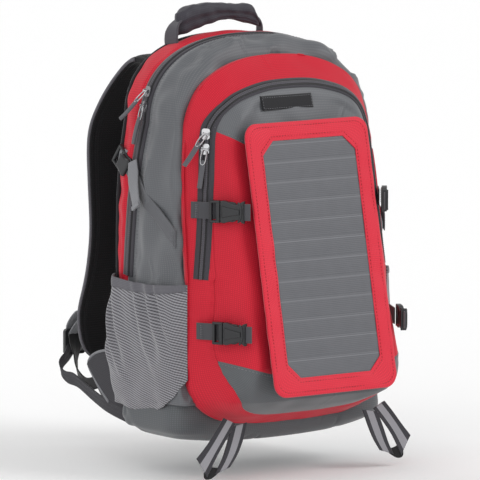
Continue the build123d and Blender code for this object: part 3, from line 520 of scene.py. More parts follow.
# ---- Bottom panel ----
# The grey boot under both shells: coated nylon, slack, sagging a little under the load and
# drawn up at its corners, sewn to the shells 50 mm above the base.
BOOT_ROLL, SAG = 26.0, 5.0
turns = np.linspace(-np.pi, np.pi, 360, endpoint=False)
mid_depth, half_depth = (MAIN_DEPTH + BACK_DEPTH) / 2, (MAIN_DEPTH - BACK_DEPTH) / 2
square = np.stack([np.cos(turns), np.sin(turns)], -1)
square *= (1 / (np.abs(square[:, :1]) ** 7 + np.abs(square[:, 1:]) ** 7)) ** (1 / 7)
rim = even(np.vstack([square, square[:1]]) * [HALF, half_depth], 421)[:-1]
share = np.linspace(0, 1, 16)
drop = np.linspace(0, np.pi / 2, 12)
shrink = np.r_[np.zeros(16), BOOT_ROLL * (1 - np.cos(drop))[1:], np.linspace(BOOT_ROLL, half_depth,
                                                                          18)[1:]]
level = np.r_[SEAM_HEIGHT + (BOOT_ROLL - SEAM_HEIGHT) * share,
              BOOT_ROLL * (1 - np.sin(drop))[1:], np.zeros(17)]
keep_long = np.maximum(HALF - shrink, HALF - half_depth)
boot_x = rim[:, :1] / HALF * keep_long
boot_y = rim[:, 1:] / half_depth * (half_depth - shrink)
sag = SAG * (1 - ease(np.hypot(boot_x / HALF, boot_y / half_depth / 1.6), 0.2, 1.0))
lift = 9.0 * ease(np.abs(boot_x), 70, HALF) * ease(-boot_y * 0 + shrink, 0, 10)
swell = 3.5 * np.sin(np.pi * np.clip((SEAM_HEIGHT - level) / SEAM_HEIGHT, 0, 1))
out = 1 + swell / HALF
grid = place(boot_x * out, mid_depth + boot_y * out, level - sag + lift * (level < 26) * 0.5)
grid += facing(grid, ring=True) * (-0.0016 * creases(grid, 0.05, 21)
                                   * ease(SEAM_HEIGHT - level, 2, 14)
                                   * ease(half_depth - shrink, 0, 30))[..., None]
boot = sew("bottom_cloth", grid, ring=True, inside=(0, -0.08, -0.2))
dress(boot, DARK_GREY_NYLON, "pack", "grey_fabric", "bottom_panel", wall=2.0)

# ---- Front compartment and its pocket ----
# A stuffed box of red nylon sewn on the main front panel. Its sloping shoulders carry the
# zip; below the zip's ends a pinched seam goes on round the grey lower panel.
FRONT_OUTLINE = flowing([(0, 21), (-55, 22), (-98, 28), (-126, 42), (-143, 64), (-149, 96),
                         (-148.5, 150), (-147.5, 230), (-144.5, 310), (-140.5, 350), (-136, 377),
                         (-129, 404), (-116, 427), (-97, 443), (-70, 455), (-38, 462.5),
                         (0, 465)], 300)
POCKET_LINE = flowing([(0, 34), (-50, 35), (-84, 42), (-108, 56), (-124, 78), (-131, 104),
                       (-130, 150), (-127, 200), (-124, 260), (-119, 330), (-114.5, 372),
                       (-105, 396), (-88, 413), (-62, 425), (-32, 431), (0, 432.5)], 300)
STEP, SLOPE_WIDTH = 8.0, 38.5
SEAM_HEIGHTS, SEAM_SHIFTS = (100, 150, 230, 310, 350, 375), (0, 1.8, 4.4, 5.1, 2.4, 0)
FACE_HEIGHTS = (20, 34, 58, 100, 385, 436, 471)
FACE_DEPTHS = (176, 206, 229, 234, 176, 163, 130)


def both(line):
    """A left-hand line and its mirror image, as one closed line from the bottom round."""
    return np.vstack([line, (line * [-1, 1])[::-1][1:-1]])


front_edge, pocket_edge = both(FRONT_OUTLINE), both(POCKET_LINE)


def nearest(x, h, line):
    """Distance in the upright plane from each point to a line's points."""
    flat = np.stack(np.broadcast_arrays(x, h), -1).reshape(-1, 2)
    gap = [np.sqrt(((part[:, None] - line[None]) ** 2).sum(-1).min(1))
           for part in np.array_split(flat, max(len(flat) // 4000, 1))]
    return np.concatenate(gap).reshape(np.broadcast(x, h).shape)


def front_depth(x, h, detail=True):
    """Depth of the front compartment's skin: a straight gusset, a shoulder that rises over
    SLOPE_WIDTH and rolls into the face, fuller low down; then folds, dips and billows."""
    x, h = np.broadcast_arrays(np.asarray(x, float), np.asarray(h, float))
    rho = nearest(x, h, front_edge)
    foot = main_front(h) + STEP
    rise = np.interp(h, FACE_HEIGHTS, FACE_DEPTHS) - foot
    u = (rho - np.interp(h, SEAM_HEIGHTS, SEAM_SHIFTS)) / SLOPE_WIDTH
    straight = 1 - np.log1p(np.exp((1 - u) * 9.0)) / 9.0
    rounded = 1 - np.clip(1 - u / 1.15, 0, 1) ** 2.1
    low = 1 - ease(h, 62, 124)
    depth = foot + rise * (straight + (rounded - straight) * low)
    if detail:
        seam = nearest(x, h, pocket_edge[pocket_edge[:, 1] < 203])
        depth -= 3.4 * np.exp(-(seam / 3.2) ** 2)
        depth += 1.6 * np.exp(-((seam - 9) / 5.0) ** 2)
        spot = np.stack([x, h * 0.6, 0 * x], -1) / 1000
        calm = ease(nearest(x, h, ZIP_CENTRE), 9, 22)
        depth += 1.5 * relief(spot, 0.055, 31) * calm
        depth += 2.2 * creases(spot + 0.003 * relief(spot, 0.03, 33)[..., None], 0.060, 35) * calm
        pucker = np.sin(h / 2.1 + 3 * np.sin(h / 17)) * np.exp(-seam / 7)
        depth += 0.6 * pucker
    return depth


ZIP_LOW = 137.0, 204.0
leg = np.array([(-ZIP_LOW[0], ZIP_LOW[1]), (-131.3, 254), (-125.6, 311), (-121, 358), (-118.4, 376),
                (-112.8, 391), (-100, 406), (-79, 419), (-48, 428), (-20, 431.5)])
ZIP_CENTRE = flowing(np.vstack([leg, (leg * [-1, 1])[::-1]]), 1500)


def patch(lines, count):
    """Points between flat lines of equal length, count rows from the first to the last."""
    share = np.linspace(0, 1, count)[:, None, None]
    return lines[0][None] * (1 - share) + lines[1][None] * share


def on_front(flat, lift=0.0, detail=True):
    """Flat points laid on the front compartment's skin, in metres."""
    depth = front_depth(flat[..., 0], flat[..., 1], detail)
    return place(flat[..., 0], depth + lift, flat[..., 1])


def closed(line, count):
    """A closed line spaced evenly from the bottom round."""
    return even(np.vstack([line, line[:1]]), count + 1)[:-1]


ring = 640
outer, inner = closed(front_edge, ring), closed(pocket_edge, ring)
flat = patch((outer, inner), 26).transpose(1, 0, 2)
grid = on_front(flat)
share = np.linspace(0, 1, 7)[:-1, None]
wall_depth = (main_front(outer[:, 1]) - 2)[:, None] + (STEP + 2) * share.T
inset = (1.5 * (1 - share) ** 2).T
toward = (inner - outer) / np.linalg.norm(inner - outer, axis=1, keepdims=True)
side_flat = outer[:, None] + toward[:, None] * inset[..., None]
gusset = np.concatenate([place(side_flat[..., 0], wall_depth, side_flat[..., 1]), grid], 1)
piece = sew("front_gusset_cloth", gusset, ring=True, inside=(0, -0.15, 0))
dress(piece, RED_NYLON, "pack", "red_fabric", "front_gusset", wall=1.6)

TOP_SEAM = flowing([(-115, 382), (-80, 364), (-40, 350), (0, 346), (40, 350), (80, 364),
                    (115, 382)], 260)
LOW_SEAM = flowing([(-131, 108), (-90, 95), (-45, 86), (0, 84), (45, 86), (90, 95), (131, 108)],
                   260)


def part_of(line, low, high, count):
    """The left-to-right stretch of the pocket's edge between two heights, over or under."""
    over = low > 200
    side = line[(line[:, 1] > low)] if over else line[(line[:, 1] < high)]
    return even(side[np.argsort(np.arctan2(side[:, 0], (side[:, 1] - 250) * (1 if over else -1)))],
                count)


top_arch = part_of(pocket_edge, 382, 999, 260)
top_arch[[0, -1]] = TOP_SEAM[[0, -1]]
low_arch = part_of(pocket_edge, 0, 108, 260)
low_arch[[0, -1]] = LOW_SEAM[[0, -1]]
for name, lines, rows, cloth, slot, node in (
        ("pocket_top_cloth", (top_arch, TOP_SEAM), 60, GREY_NYLON, "grey_fabric",
         "pocket_top_panel"),
        ("pocket_low_cloth", (LOW_SEAM, low_arch), 60, DARK_GREY_NYLON, "grey_fabric",
         "pocket_low_panel")):
    piece = sew(name, on_front(patch(lines, rows)), inside=(0, -0.15, 0))
    dress(piece, cloth, "pack", slot, node, wall=1.6)

side_line = POCKET_LINE[(POCKET_LINE[:, 1] > 108) & (POCKET_LINE[:, 1] < 382)]
side_line = even(np.vstack([LOW_SEAM[:1], side_line, TOP_SEAM[:1]]), 220)[::-1]
across = np.linspace(0, 1, 260)[None, :]
face_x = side_line[:, :1] * (1 - 2 * across)
mix = ((side_line[:, 1:] - 108) / (382 - 108))
top_h = np.interp(face_x, TOP_SEAM[:, 0], TOP_SEAM[:, 1])
low_h = np.interp(face_x, LOW_SEAM[:, 0], LOW_SEAM[:, 1])
face_h = low_h + (top_h - low_h) * np.clip(mix, 0, 1)
piece = sew("pocket_face_cloth", on_front(np.stack([face_x, face_h], -1)), inside=(0, -0.15, 0))
dress(piece, RED_NYLON, "pack", "red_fabric", "pocket_face_panel", wall=1.6)

for name, line, thread in (("top_seam", TOP_SEAM, GREY_THREAD), ("low_seam", LOW_SEAM, GREY_THREAD)):
    seam = on_front(line + [0, 3.0 if name == "top_seam" else -3.0], 0.2)
    stitches(name + "_stitches", seam, np.broadcast_to([0, -1.0, 0.2], seam.shape), thread,
             "pack", "grey_fabric")

centre_flat = even(ZIP_CENTRE, 1500)
tangent = np.gradient(centre_flat, axis=0)
normal_flat = np.stack([tangent[:, 1], -tangent[:, 0]], -1)
normal_flat /= np.linalg.norm(normal_flat, axis=1, keepdims=True)
centre = on_front(centre_flat, detail=False)
across = on_front(centre_flat + normal_flat * 3, detail=False) - on_front(
    centre_flat - normal_flat * 3, detail=False)
across /= np.linalg.norm(across, axis=1, keepdims=True)
for i in range(3):
    across[1:-1] = (across[:-2] + across[1:-1] * 2 + across[2:]) / 4
normal = np.cross(np.gradient(centre, axis=0), across)
normal /= np.linalg.norm(normal, axis=1, keepdims=True)
normal *= np.sign(-normal[:, 1:2])
tape_width = 0.020 - 0.006 * ease(centre_flat[:, 1], 380, 410)
lay_zip("front_zip", centre, across, normal, tape_width, ("front_zip_tape", "front_zip_coil"))

# ---- Mesh side pockets ----
# Elastic knit mesh, gathered under a grey elastic band, sewn to the bag's side along its
# back edge, its slanting foot and the front compartment's seam.
def knit(name, light, dark, spacing=3.1, angle=-72):
    """Knitted mesh: slanting bright ribs with painted shade in the holes between, over the piece's
    map.
    """
    material = bpy.data.materials.new(name)
    material.use_nodes = True
    tree = material.node_tree
    shader = tree.nodes["Principled BSDF"]
    cloth = add_node(tree, "UVMap", uv_map="cloth").outputs["UV"]
    turned = add_node(tree, "Mapping", {"Vector": cloth})
    turned.inputs["Rotation"].default_value = (0, 0, math.radians(angle))
    scale = 0.314 / (spacing / 1000)
    ribs = add_node(tree, "TexWave", {"Vector": turned.outputs["Vector"]}, wave_type="BANDS",
                    bands_direction="X", Scale=scale, Distortion=1.2, Detail=1.5)
    holes = add_node(tree, "TexWave", {"Vector": turned.outputs["Vector"]}, wave_type="BANDS",
                     bands_direction="Y", Scale=scale * 1.2, Distortion=0.8, Detail=1.0)
    half = add_node(tree, "Math", {0: ribs.outputs["Fac"]}, operation="MULTIPLY_ADD")
    half.inputs[1].default_value = 0.8
    weak = add_node(tree, "Math", {0: holes.outputs["Fac"]}, operation="MULTIPLY")
    weak.inputs[1].default_value = 0.15
    tree.links.new(weak.outputs[0], half.inputs[2])
    # the light colour is the yarn's own grey; the dark colour is painted shade seen through the holes
    mix = add_node(tree, "Mix", {"Factor": half.outputs[0]}, data_type="RGBA")
    mix.inputs["A"].default_value, mix.inputs["B"].default_value = linear(dark), linear(light)
    tree.links.new(mix.outputs["Result"], shader.inputs["Base Color"])
    bump = add_node(tree, "Bump", {"Height": half.outputs[0]}, Strength=0.8, Distance=0.0008)
    tree.links.new(bump.outputs["Normal"], shader.inputs["Normal"])
    shader.inputs["Roughness"].default_value = 0.6
    shader.inputs["Sheen Weight"].default_value = 0.3
    return material


# its dark colour is painted shade in the mesh holes
GREY_MESH = knit("grey knit mesh", "#9e9da3", "#2f2e33")
ELASTIC = woven("grey ribbed elastic", "#77767b", "#5b5a60", roughness=0.8, spacing=1.8, bump=0.5)
POCKET_BACK, POCKET_FRONT = 12.0, 156.0


def pocket_point(depth, level):
    """How far a side pocket stands off and its height, level running 0 at the foot to 1 at
    the mouth: flat-topped across, fullest at two thirds, with gathers that fade downwards."""
    across = (depth - POCKET_BACK) / (POCKET_FRONT - POCKET_BACK)
    foot = np.interp(depth, (12, 60, 96, 118, 138, 156), (40, 35, 38, 46, 60, 82))
    mouth = 197.0 - 4.0 * np.sin(np.pi * across)
    height = foot + (mouth - foot) * level
    hump = 1 - np.abs(2 * across - 1) ** np.where(across < 0.5, 9, 3.5)
    belly = 9.0 * ease(1 - across, 0.4, 0.95) * np.interp(level, (0, 0.2, 0.45, 1), (0, 0.8, 1, 0.1))
    full = np.interp(level, (0, 0.12, 0.35, 0.65, 0.85, 1), (1.0, 7, 15.5, 17.5, 14.5, 11.5))
    slant = depth + 0.42 * (height - 195)
    folds = (np.sin(slant / 3.5 + 1.1 * np.sin(slant / 9.0))
             * (0.5 + 0.5 * np.sin(slant / 13.0 + 1.0)))
    gather = 6.2 * folds * ease(level, 0.15, 0.85) * (1 - 0.65 * ease(level, 0.86, 0.95))
    sag = 1.6 * relief(np.stack(np.broadcast_arrays(depth, height, 0 * depth), -1) / 1000,
                       0.05, 61)
    front = 5.5 * ease(depth, 142, POCKET_FRONT)
    return 1.0 - front + hump * (full + gather + belly + sag * (1 - level)), height


level = np.linspace(0, 1, 90)[None, :]
depth = np.linspace(POCKET_BACK, POCKET_FRONT, 220)[:, None]
out, height = pocket_point(depth + 0 * level, level + 0 * depth)
band_level = np.linspace(0.928, 1.0, 8)[None, :]
band_out, band_height = pocket_point(depth + 0 * band_level, band_level + 0 * depth)
rolled = np.sin(np.pi * np.linspace(0, 1, 8))[None, :] * 0.7
for hand, sign in (("left", -1), ("right", 1)):
    side_x = sign * (HALF + out)
    pocket = sew(f"mesh_pocket_cloth_{hand}", place(side_x, depth, height),
                 inside=(sign * 0.14, -0.08, -0.12))
    corners = np.array([v.co for v in pocket.data.vertices])[
        [loop.vertex_index for loop in pocket.data.loops]]
    flat_map = np.stack([-corners[:, 1], corners[:, 2]], -1)
    pocket.data.uv_layers["cloth"].data.foreach_set("uv", flat_map.ravel())
    dress(pocket, GREY_MESH, "pack", "grey_mesh", f"mesh_pocket_{hand}", wall=1.0)
    grid = place(sign * (HALF + band_out + 0.9 + rolled), depth, band_height + 0.6)
    band = sew(f"pocket_band_{hand}", grid, inside=(sign * 0.14, -0.08, -0.12))
    dress(band, ELASTIC, "pack", "grey_binding", wall=2.0,
          *(["pocket_bands"] if hand == "left" else []))

# ---- Shoulder straps ----
# Foam pads in black spacer mesh, bound at the edges, sewn in at the top of the back; each
# ends in a webbing loop that holds a ladder lock.
STRAP_ROUTE = flowing([(-8, 449), (28, 451), (52, 431), (70, 395), (82, 345), (77, 250),
                       (82, 196), (94, 148), (97, 116), (95, 79)], 280)
STRAP_OUTER = [(76, 118), (92, 128), (130, 134), (170, 131), (230, 129), (300, 129), (375, 126),
               (440, 104), (475, 96)]
STRAP_INNER = [(76, 96), (100, 92), (150, 84), (220, 70), (300, 62), (375, 58), (440, 40),
               (475, 32)]


def at_height(table, h):
    """The width table's value at a height, smoothed."""
    line = flowing(table, 200)
    return np.interp(h, line[:, 0], line[:, 1])


route_out, route_h = STRAP_ROUTE[:, 0], STRAP_ROUTE[:, 1]
tangent = np.gradient(STRAP_ROUTE, axis=0)
tangent /= np.linalg.norm(tangent, axis=1, keepdims=True)
outer_x, inner_x = at_height(STRAP_OUTER, route_h), at_height(STRAP_INNER, route_h)
from_tip = np.r_[np.cumsum(np.linalg.norm(np.diff(STRAP_ROUTE, axis=0), axis=1)[::-1])[::-1], 0]
tip = np.sqrt(1 - (1 - np.clip(from_tip / 26, 0, 1)) ** 2)
angle = np.linspace(0, 2 * np.pi, 72, endpoint=False)
wide = np.sign(np.cos(angle)) * np.abs(np.cos(angle)) ** 0.75
thick = np.sign(np.sin(angle)) * np.abs(np.sin(angle)) ** 0.6
for hand, sign in (("left", -1), ("right", 1)):
    middle = sign * (outer_x + inner_x) / 2
    half = (outer_x - inner_x) / 2 * (0.35 + 0.65 * tip) * (tip > 0.02)
    foam = 6.2 * np.minimum(tip * 1.4, 1)
    x = middle[:, None] + half[:, None] * wide
    off = foam[:, None] * thick * (1 - 0.18 * np.exp(-((np.abs(wide) - 0.82) / 0.08) ** 2))
    flat = STRAP_ROUTE[:, None] + np.stack([-tangent[:, 1], tangent[:, 0]], -1)[:, None] * off[
        ..., None]
    grid = np.stack([x, flat[..., 0], flat[..., 1] - 240], -1) / 1000
    grid = np.concatenate([grid[:1].mean(1, keepdims=True).repeat(72, 1), grid])
    grid[-1] = grid[-1].mean(0)
    pad = sew(f"shoulder_pad_{hand}", grid.transpose(1, 0, 2), ring=True,
              inside=(sign * 0.1, 0.06, 0.05))
    form = bmesh.new()
    form.from_mesh(pad.data)
    bmesh.ops.recalc_face_normals(form, faces=form.faces)
    form.to_mesh(pad.data)
    form.free()
    dress(pad, MESH_FOAM, f"strap_{hand}", "black_mesh_foam", f"shoulder_strap_{hand}")
    edge_line = np.concatenate([
        np.stack([middle + side * half * 1.005, route_out, route_h - 240], -1)[::side] / 1000
        for side in (1, -1)])[20:-20]
    binding = cord_mesh(f"strap_binding_{hand}", edge_line, 0.0021)
    dress(binding, ELASTIC, f"strap_{hand}", "grey_binding")
    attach(binding, f"strap_{hand}")

# ---- Back pad ----
# Moulded foam under black spacer mesh, with an air channel down the middle and two across,
# quilted round its edge.
PAD_ROLL = 7.0
pad_edge = flowing([(0, 12), (-100, 12.5), (-122, 20), (-130, 40), (-130, 200), (-130, 365),
                    (-120, 395), (-104, 425), (-84, 446), (-50, 450), (0, 450)], 240)
pad_ring = closed(both(pad_edge), 420)
share = np.linspace(0, 1, 70) ** 1.3
spine = np.stack([0 * pad_ring[:, 0], np.clip(pad_ring[:, 1], 120, 330)], -1)
flat = pad_ring[:, None] * (1 - share)[:, None] + spine[:, None] * share[:, None]
rho = nearest(flat[..., 0], flat[..., 1], pad_ring)
dome = np.sqrt(1 - (1 - np.clip(rho / PAD_ROLL, 0, 1)) ** 2)
channel = 5.2 * np.exp(-(flat[..., 0] / 10.0) ** 4) * ease(rho, 20, 40)
for cross in (150.0, 300.0):
    channel = np.maximum(channel, 4.4 * np.exp(-((flat[..., 1] - cross) / 7.0) ** 4)
                         * ease(rho, 8, 22))
quilt = 1.4 * np.exp(-((rho - 12) / 1.6) ** 2)
depth = BACK_DEPTH - 0.5 - (BACK_DEPTH - 0.5) * dome + channel + quilt
skirt = place(pad_ring[:, :1], np.full((len(pad_ring), 1), BACK_DEPTH), pad_ring[:, 1:])
grid = np.concatenate([skirt, place(flat[..., 0], depth, flat[..., 1])], 1)
pad = sew("back_pad_cloth", grid, ring=True, inside=(0, -0.1, 0))
dress(pad, MESH_FOAM, "pack", "black_mesh_foam", "back_pad")

# ---- Haul handle ----
# A padded sleeve folded round a loop of webbing: an upper flap over an arched lower lining,
# wide at the left end and drooping to a corner at the right. Its two flat legs are sewn in
# behind the crown.
HANDLE = woven("charcoal padded twill", "#47454c", "#34323a", roughness=0.6, spacing=2.0,
               bump=0.3)
SATIN = woven("charcoal handle webbing", "#514e56", "#3d3b42", roughness=0.5, spacing=1.6,
              bump=0.3)
SLEEVE_TOP = flowing([(-75, 508), (-70.5, 511), (-58, 518), (-40, 521), (-14, 521), (8, 519),
                      (33, 517), (40, 514), (44, 507), (51, 496), (54, 491)], 220)
SLEEVE_LOW = flowing([(-75, 480), (-70.5, 482), (-58, 486), (-43, 490), (-26, 495), (-14, 497.5),
                      (2, 499), (24, 496.5), (36, 493), (51, 488), (54, 488)], 220)
x = np.linspace(-72, 52, 150)
top, low = (np.interp(x, line[:, 0], line[:, 1]) for line in (SLEEVE_TOP, SLEEVE_LOW))
angle = np.linspace(0, 2 * np.pi, 64, endpoint=False)
upright = np.sign(np.sin(angle)) * np.abs(np.sin(angle)) ** 0.75
level = (top + low)[:, None] / 2 + (top - low)[:, None] / 2 * upright
fold = (low + 0.5 * (top - low))[:, None]
closing = (np.minimum(ease(x, -72.5, -62), 1 - ease(x, 44, 53)) * 0.6 + 0.4)[:, None]
half = (9.6 - 2.4 * ease(fold - level, 0, 2.4)) * closing
half = half - 2.2 * np.exp(-((level - fold + 0.6) / 1.0) ** 2) * closing
half = half - 0.8 * np.exp(-((level - low[:, None] - 3.2) / 1.0) ** 2) * closing
grid = place(x[:, None] + 0 * level, 24 - half * np.sign(np.cos(angle))
             * np.abs(np.cos(angle)) ** 0.55, level)
grid += facing(grid) * (0.0006 * relief(grid, 0.02, 71))[..., None]
ends = [np.repeat(end.mean(0)[None, None], 64, 1) for end in (grid[0], grid[-1])]
grid = np.concatenate([ends[0], grid, ends[1]])
handle = sew("handle_cloth", grid.transpose(1, 0, 2), ring=True, inside=(0, -0.024, 0.25))
form = bmesh.new()
form.from_mesh(handle.data)
bmesh.ops.recalc_face_normals(form, faces=form.faces)
form.to_mesh(handle.data)
form.free()
dress(handle, HANDLE, "handle", "black_webbing", "handle_sleeve", "handle_webbing")
for hand, leg in (("left", [(-74, 455), (-79, 468), (-80.5, 482), (-77, 495), (-68, 503),
                            (-56, 506)]),
                  ("right", [(44, 503), (50, 499), (54, 491), (54, 481), (50, 470)])):
    leg = flowing(leg, 60)
    half = np.interp(np.linspace(0, 1, 60), (0, 0.5, 0.72, 1),
                     (14.5, 12.5, 7.5, 5) if hand == "left" else (4, 5.5, 6, 5.5))
    legs = [place(leg[:, 0], 24 + k * half, leg[:, 1]) for k in (-1, 1)]
    share = np.linspace(0, 1, 15)[None, :, None]
    web = legs[0][:, None] * (1 - share) + legs[1][:, None] * share
    web = sew(f"handle_leg_{hand}", web, weld=False, inside=(0, -0.024, 0.23))
    dress(web, SATIN, "handle", "black_webbing", wall=2.2)

# ---- Solar panel ----
# A red fabric frame sewn round a dark textured sheet; twelve cells in a string lie under
# the sheet and show as faint lines. It leans with the front compartment's face.
PANEL_W, PANEL_H, PANEL_CORNER, WINDOW_W, WINDOW_H, CHAMFER = 183.0, 330.0, 17.0, 138.0, 286.0, 17.0
lean = math.atan(58.0 / 285.0)
panel_out = np.array([0, -math.cos(lean), math.sin(lean)])
panel_up = np.array([0, math.sin(lean), math.cos(lean)])
panel_middle = place(0, 234.0 - 58.0 * 125 / 285, 225.0) + panel_out * 0.0145


def on_panel(x, y, z):
    """Points on the panel from millimetres across, up and out of its middle plane."""
    x, y, z = (np.asarray(v, float)[..., None] / 1000 for v in np.broadcast_arrays(x, y, z))
    return panel_middle + x * np.array([1.0, 0, 0]) + y * panel_up + z * panel_out


def rounded_box(width, height, radius, count):
    """A closed outline of a rectangle with round corners, evenly spaced, from the bottom."""
    arc = np.linspace(0, np.pi / 2, 12)
    corners = []
    for k, (sx, sy) in enumerate(((1, -1), (1, 1), (-1, 1), (-1, -1))):
        a = arc + (k - 1) * np.pi / 2
        corners.append(np.stack([sx * (width / 2 - radius) + radius * np.cos(a),
                                 sy * (height / 2 - radius) + radius * np.sin(a)], -1))
    return closed(np.vstack([[[0, -height / 2]]] + corners), count)


def chamfered_box(width, height, cut, count):
    """A closed outline of a rectangle with cut corners, evenly spaced, from the bottom."""
    w, h = width / 2, height / 2
    return closed(np.array([(0, -h), (w - cut, -h), (w, -h + cut), (w, h - cut), (w - cut, h),
                            (-w + cut, h), (-w, h - cut), (-w, -h + cut), (-w + cut, -h)]), count)


def by_angle(line, count, squash=0.55):
    """A closed outline resampled at even angles round its middle, heights squashed."""
    angle = np.unwrap(np.arctan2(line[:, 1] * squash, line[:, 0]))
    angle = np.r_[angle, angle[0] + 2 * np.pi]
    line = np.vstack([line, line[:1]])
    at = angle[0] + np.linspace(0, 2 * np.pi, count, endpoint=False)
    return np.stack([np.interp(at, angle, line[:, k]) for k in range(2)], -1)


outer = by_angle(rounded_box(PANEL_W, PANEL_H, PANEL_CORNER, 900), 720)
inner = by_angle(chamfered_box(WINDOW_W, WINDOW_H, CHAMFER, 900), 720)
profile = np.array([(0.02, -2.2), (0.0, -0.6), (0.015, 0.9), (0.06, 1.5), (0.14, 1.75),
                    (0.3, 1.85), (0.45, 1.9), (0.6, 1.9), (0.75, 1.85), (0.86, 1.6), (0.9, 1.35),
                    (0.95, 1.75), (1.0, 1.4), (1.01, 0.6)])
flat = outer[:, None] * (1 - profile[:, 0])[:, None] + inner[:, None] * profile[:, 0][:, None]
wavy = 0.35 * relief(np.concatenate([flat, 0 * flat[..., :1]], -1) / 1000, 0.045, 81)
grid = on_panel(flat[..., 0], flat[..., 1], profile[:, 1] + wavy)
PANEL_RED = woven("red panel cloth", "#e92a40", "#c92036", roughness=0.6, spacing=2.6, bump=0.3)
piece = sew("panel_frame_cloth", grid, ring=True, inside=tuple(panel_middle - panel_out * 0.05))
dress(piece, PANEL_RED, "solar_panel", "red_fabric", "panel_frame", wall=1.2)
for name, line, offset in (("window", inner, 1.035), ("rim", outer, 0.955)):
    thread = closed(line * offset if name == "window" else line * [0.945, 0.968], 900)
    thread = np.vstack([thread, thread[:1]])
    stitches(f"panel_{name}_stitches", on_panel(thread[:, 0], thread[:, 1], 1.95),
             np.broadcast_to(panel_out, (len(thread), 3)), RED_THREAD, "solar_panel",
             "red_fabric", length=2.6, gap=1.6, radius=0.4)

CELL_PITCH = WINDOW_H / 12
rows_y = np.linspace(-WINDOW_H / 2 - 0.5, WINDOW_H / 2 + 0.5, 400)
rows_half = np.interp(np.abs(rows_y), (WINDOW_H / 2 - CHAMFER, WINDOW_H / 2),
                      (WINDOW_W / 2, WINDOW_W / 2 - CHAMFER)) + 0.5
cols = np.linspace(-1, 1, 60)
sheet_x, sheet_y = rows_half[:, None] * cols, rows_y[:, None] + 0 * cols
phase = (sheet_y + WINDOW_H / 2) / CELL_PITCH
line_dip = 0.1 * np.exp(-((phase - np.round(phase)) * CELL_PITCH / 0.8) ** 2)
swell = 0.08 * np.sin(np.pi * (phase % 1)) ** 2
grid = on_panel(sheet_x, sheet_y, 0.75 - line_dip + swell)


def panel_sheet():
    """Dark textured polymer sheet over silicon: fine cross ribs, a paler line between cells
    and a soft vertical brushing; satin, not glossy."""
    material = bpy.data.materials.new("textured polymer sheet over silicon")
    material.use_nodes = True
    tree = material.node_tree
    shader = tree.nodes["Principled BSDF"]
    cloth = add_node(tree, "UVMap", uv_map="cloth").outputs["UV"]
    apart = add_node(tree, "SeparateXYZ", {"Vector": cloth})
    scaled = add_node(tree, "Math", {0: apart.outputs["X"]}, operation="DIVIDE")
    scaled.inputs[1].default_value = CELL_PITCH / 1000
    saw = add_node(tree, "Math", {0: scaled.outputs[0]}, operation="FRACT")
    off = add_node(tree, "Math", {0: saw.outputs[0]}, operation="SUBTRACT")
    off.inputs[1].default_value = 0.5
    far = add_node(tree, "Math", {0: off.outputs[0]}, operation="ABSOLUTE")
    lines = add_node(tree, "MapRange", {"Value": far.outputs[0]})
    lines.inputs["From Min"].default_value, lines.inputs["From Max"].default_value = 0.462, 0.492
    noise = add_node(tree, "TexNoise", {"Vector": cloth}, Scale=70.0, Detail=5.0)
    ribs = add_node(tree, "TexWave", {"Vector": cloth}, wave_type="BANDS", bands_direction="X",
                    Scale=0.314 / 0.0022, Distortion=0.3)
    base = add_node(tree, "Mix", {"Factor": noise.outputs["Fac"]}, data_type="RGBA")
    base.inputs["A"].default_value, base.inputs["B"].default_value = (linear("#4b4c50"),
                                                                      linear("#5c5d62"))
    ribbed = add_node(tree, "Mix", {"Factor": ribs.outputs["Fac"], "A": base.outputs["Result"]},
                      data_type="RGBA")
    ribbed.inputs["B"].default_value = linear("#5a5b60")
    mix = add_node(tree, "Mix", {"Factor": lines.outputs["Result"],
                                 "A": ribbed.outputs["Result"]}, data_type="RGBA")
    mix.inputs["B"].default_value = linear("#6c6d72")
    tree.links.new(mix.outputs["Result"], shader.inputs["Base Color"])
    bump = add_node(tree, "Bump", {"Height": ribs.outputs["Fac"]}, Strength=0.15, Distance=0.0003)
    tree.links.new(bump.outputs["Normal"], shader.inputs["Normal"])
    shader.inputs["Roughness"].default_value = 0.42
    shader.inputs["IOR"].default_value = 1.5
    return material


piece = sew("cell_sheet", grid, inside=tuple(panel_middle - panel_out * 0.05))
dress(piece, panel_sheet(), "solar_panel", "panel_sheet", "cover_sheet", wall=0.8)

# ---- Blank woven patch ----
# A plain black label with a sewn border, laid on the grey upper pocket panel.
px, ph = np.meshgrid(np.linspace(-38, 38, 70), np.linspace(-8.5, 8.5, 20), indexing="ij")
PATCH = woven("black woven label", "#26252a", "#17171a", roughness=0.7, spacing=1.3, bump=0.5)
edge_drop = 1.2 * np.exp(-np.minimum(38 - np.abs(px), 8.5 - np.abs(ph)) / 0.5)
flat = np.stack([px - 12, ph + 411], -1)
grid = on_front(flat, 1.5 - edge_drop, detail=False)
piece = sew("patch_cloth", grid, inside=(0, -0.1, 0))
dress(piece, PATCH, "pack", "black_webbing", "blank_patch", wall=0.6)
border = closed(np.array([(0, -6.5), (36, -6.5), (36, 6.5), (-36, 6.5), (-36, -6.5)]), 300)
border = np.vstack([border, border[:1]]) + [-12, 411]
line = on_front(border, 1.55, detail=False)
stitches("patch_stitches", line, np.broadcast_to([0.0, -0.93, 0.36], line.shape), GREY_THREAD,
         "pack", "grey_fabric", length=2.2, gap=1.2, radius=0.35)

